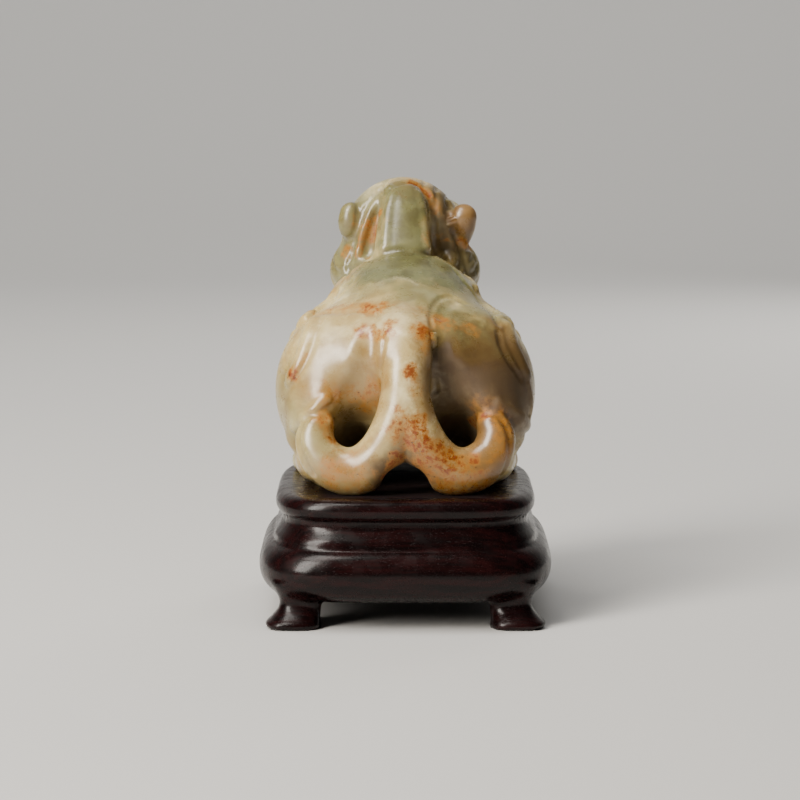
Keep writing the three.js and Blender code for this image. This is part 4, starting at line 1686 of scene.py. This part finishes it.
@dataclass(frozen=True)
class Studio:
    """A plain pale floor, soft lights and the camera.

    Attributes:
        view: Where the photographer stands.
        lamps: The lights.
        floor_width: Width of the floor, in metres, like all that follows.
        wall_distance: How far behind the object the floor turns up.
        wall_height: How high it rises there.
        cove: Radius of the turn.
        cove_steps: Number of strips in the turn.
        floor_colour: Colour of the floor.
        floor_roughness: Its roughness.
        air: Colour of the light from all around.
        air_strength: Its strength.
        sensor: Width of the camera's sensor, in millimetres.
    """

    view: Viewpoint
    lamps: tuple[Lamp, ...]
    floor_width: float = 5.0
    wall_distance: float = 1.3
    wall_height: float = 1.6
    cove: float = 0.6
    cove_steps: int = 24
    floor_colour: Colour = (0.52, 0.51, 0.49)
    floor_roughness: float = 0.75
    air: Colour = (0.9, 0.93, 1.0)
    air_strength: float = 0.035
    sensor: float = 36.0

    def build(self) -> None:
        """Builds floor, lamps, surroundings and camera."""
        self._floor()
        for lamp in self.lamps:
            self._light(lamp)
        world = bpy.data.worlds.new("studio_air")
        world.use_nodes = True
        background = world.node_tree.nodes["Background"]
        background.inputs["Color"].default_value = (*self.air, 1)
        background.inputs["Strength"].default_value = self.air_strength
        bpy.context.scene.world = world
        self._camera()

    def _floor(self) -> None:
        """A wide pale floor, level with the stand's soles, that curves up far behind the object."""
        half = self.floor_width / 2
        bpy.ops.mesh.primitive_plane_add(size=self.floor_width, location=(0, self.wall_distance - half, 0))
        floor = bpy.context.object
        floor.name = "floor"
        bpy.ops.object.transform_apply(location=True)
        bpy.ops.object.mode_set(mode="EDIT")
        bpy.ops.mesh.select_all(action="DESELECT")
        bpy.ops.mesh.select_mode(type="EDGE")
        bpy.ops.object.mode_set(mode="OBJECT")
        far = [v.index for v in floor.data.vertices if v.co.y > self.wall_distance - MM]
        self._choose(floor, far)
        bpy.ops.mesh.extrude_region_move(TRANSFORM_OT_translate={"value": (0, 0, self.wall_height)})
        self._choose(floor, far)
        bpy.ops.mesh.bevel(offset=self.cove, segments=self.cove_steps)
        bpy.ops.object.mode_set(mode="OBJECT")
        bpy.ops.object.shade_smooth()
        material = bpy.data.materials.new("pale_floor")
        material.use_nodes = True
        shader = material.node_tree.nodes["Principled BSDF"]
        shader.inputs["Base Color"].default_value = (*self.floor_colour, 1)
        shader.inputs["Roughness"].default_value = self.floor_roughness
        floor.data.materials.append(material)

    @staticmethod
    def _choose(floor: bpy.types.Object, far: Sequence[int]) -> None:
        """Selects the edge between the far corners, to be edited.

        Args:
            floor: The floor.
            far: Numbers of its far corners.
        """
        bpy.ops.object.mode_set(mode="OBJECT")
        for edge in floor.data.edges:
            edge.select = all(corner in far for corner in edge.vertices)
        bpy.ops.object.mode_set(mode="EDIT")

    def _light(self, lamp: Lamp) -> None:
        """One soft light, turned to its aim.

        Args:
            lamp: The lamp.
        """
        data = bpy.data.lights.new(lamp.name, "AREA")
        data.shape = "RECTANGLE"
        data.size = lamp.size
        data.size_y = lamp.size * lamp.stretch
        data.energy = lamp.power
        data.color = lamp.colour
        light = bpy.data.objects.new(lamp.name, data)
        light.location = lamp.place
        light.visible_glossy = lamp.mirrored
        light.rotation_euler = (Vector(lamp.aim) - light.location).to_track_quat("-Z", "Y").to_euler()
        bpy.context.scene.collection.objects.link(light)

    def _camera(self) -> None:
        """The camera at the photographer's place."""
        data = bpy.data.cameras.new("camera")
        data.sensor_width = self.sensor
        data.sensor_fit = "HORIZONTAL"
        data.lens = data.sensor_width * self.view.focal_pixels / self.view.picture
        data.clip_start = 0.01
        camera = bpy.data.objects.new("camera", data)
        camera.location = self.view.place * MM
        camera.rotation_euler = (-self.view.back).to_track_quat("-Z", "Y").to_euler()
        bpy.context.scene.collection.objects.link(camera)
        bpy.context.scene.camera = camera


def main() -> None:
    """Builds the scene."""
    logging.basicConfig(level=logging.INFO, format="%(name)s: %(message)s")
    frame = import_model()
    bpy.ops.object.select_all(action="DESELECT")
    view = Viewpoint()
    lamps = (
        Lamp("key", (-0.42, -0.4, 0.38), 0.24, 9.5, (1.0, 0.95, 0.88), stretch=2.2),
        Lamp("top", (-0.2, -0.14, 0.6), 0.24, 2.2, (1.0, 0.96, 0.9)),
        Lamp("face light", (0.3, 0.55, 0.24), 0.2, 1.3, (1.0, 0.97, 0.93), mirrored=False),
        Lamp("backdrop", (0.0, 0.25, 1.2), 1.0, 15.0, aim=(0.0, 1.3, 0.45), mirrored=False),
    )
    Studio(view, lamps).build()
    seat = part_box("jade_beast")[0][2] / MM
    stand_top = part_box("wood_stand")[1][2] / MM
    polish = wear_group()

    stand = FineSkin(0.5).over(frame["nodes"]["wood_stand"], "carved_stand", Stand(stand_top).carve(), 0)
    stand.data.materials.append(DarkWood(polish, stand_top).make())
    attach(stand, "root")
    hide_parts("wood_stand")

    beast = Beast(view, seat)
    carved = FineSkin(0.42).over(frame["nodes"]["jade_beast"], "carved_beast", beast.jade, seat)
    carved.data.materials.append(Jade(stain_group(), polish, beast).make())
    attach(carved, "root")
    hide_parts("jade_beast")


if __name__ == "__main__":
    main()
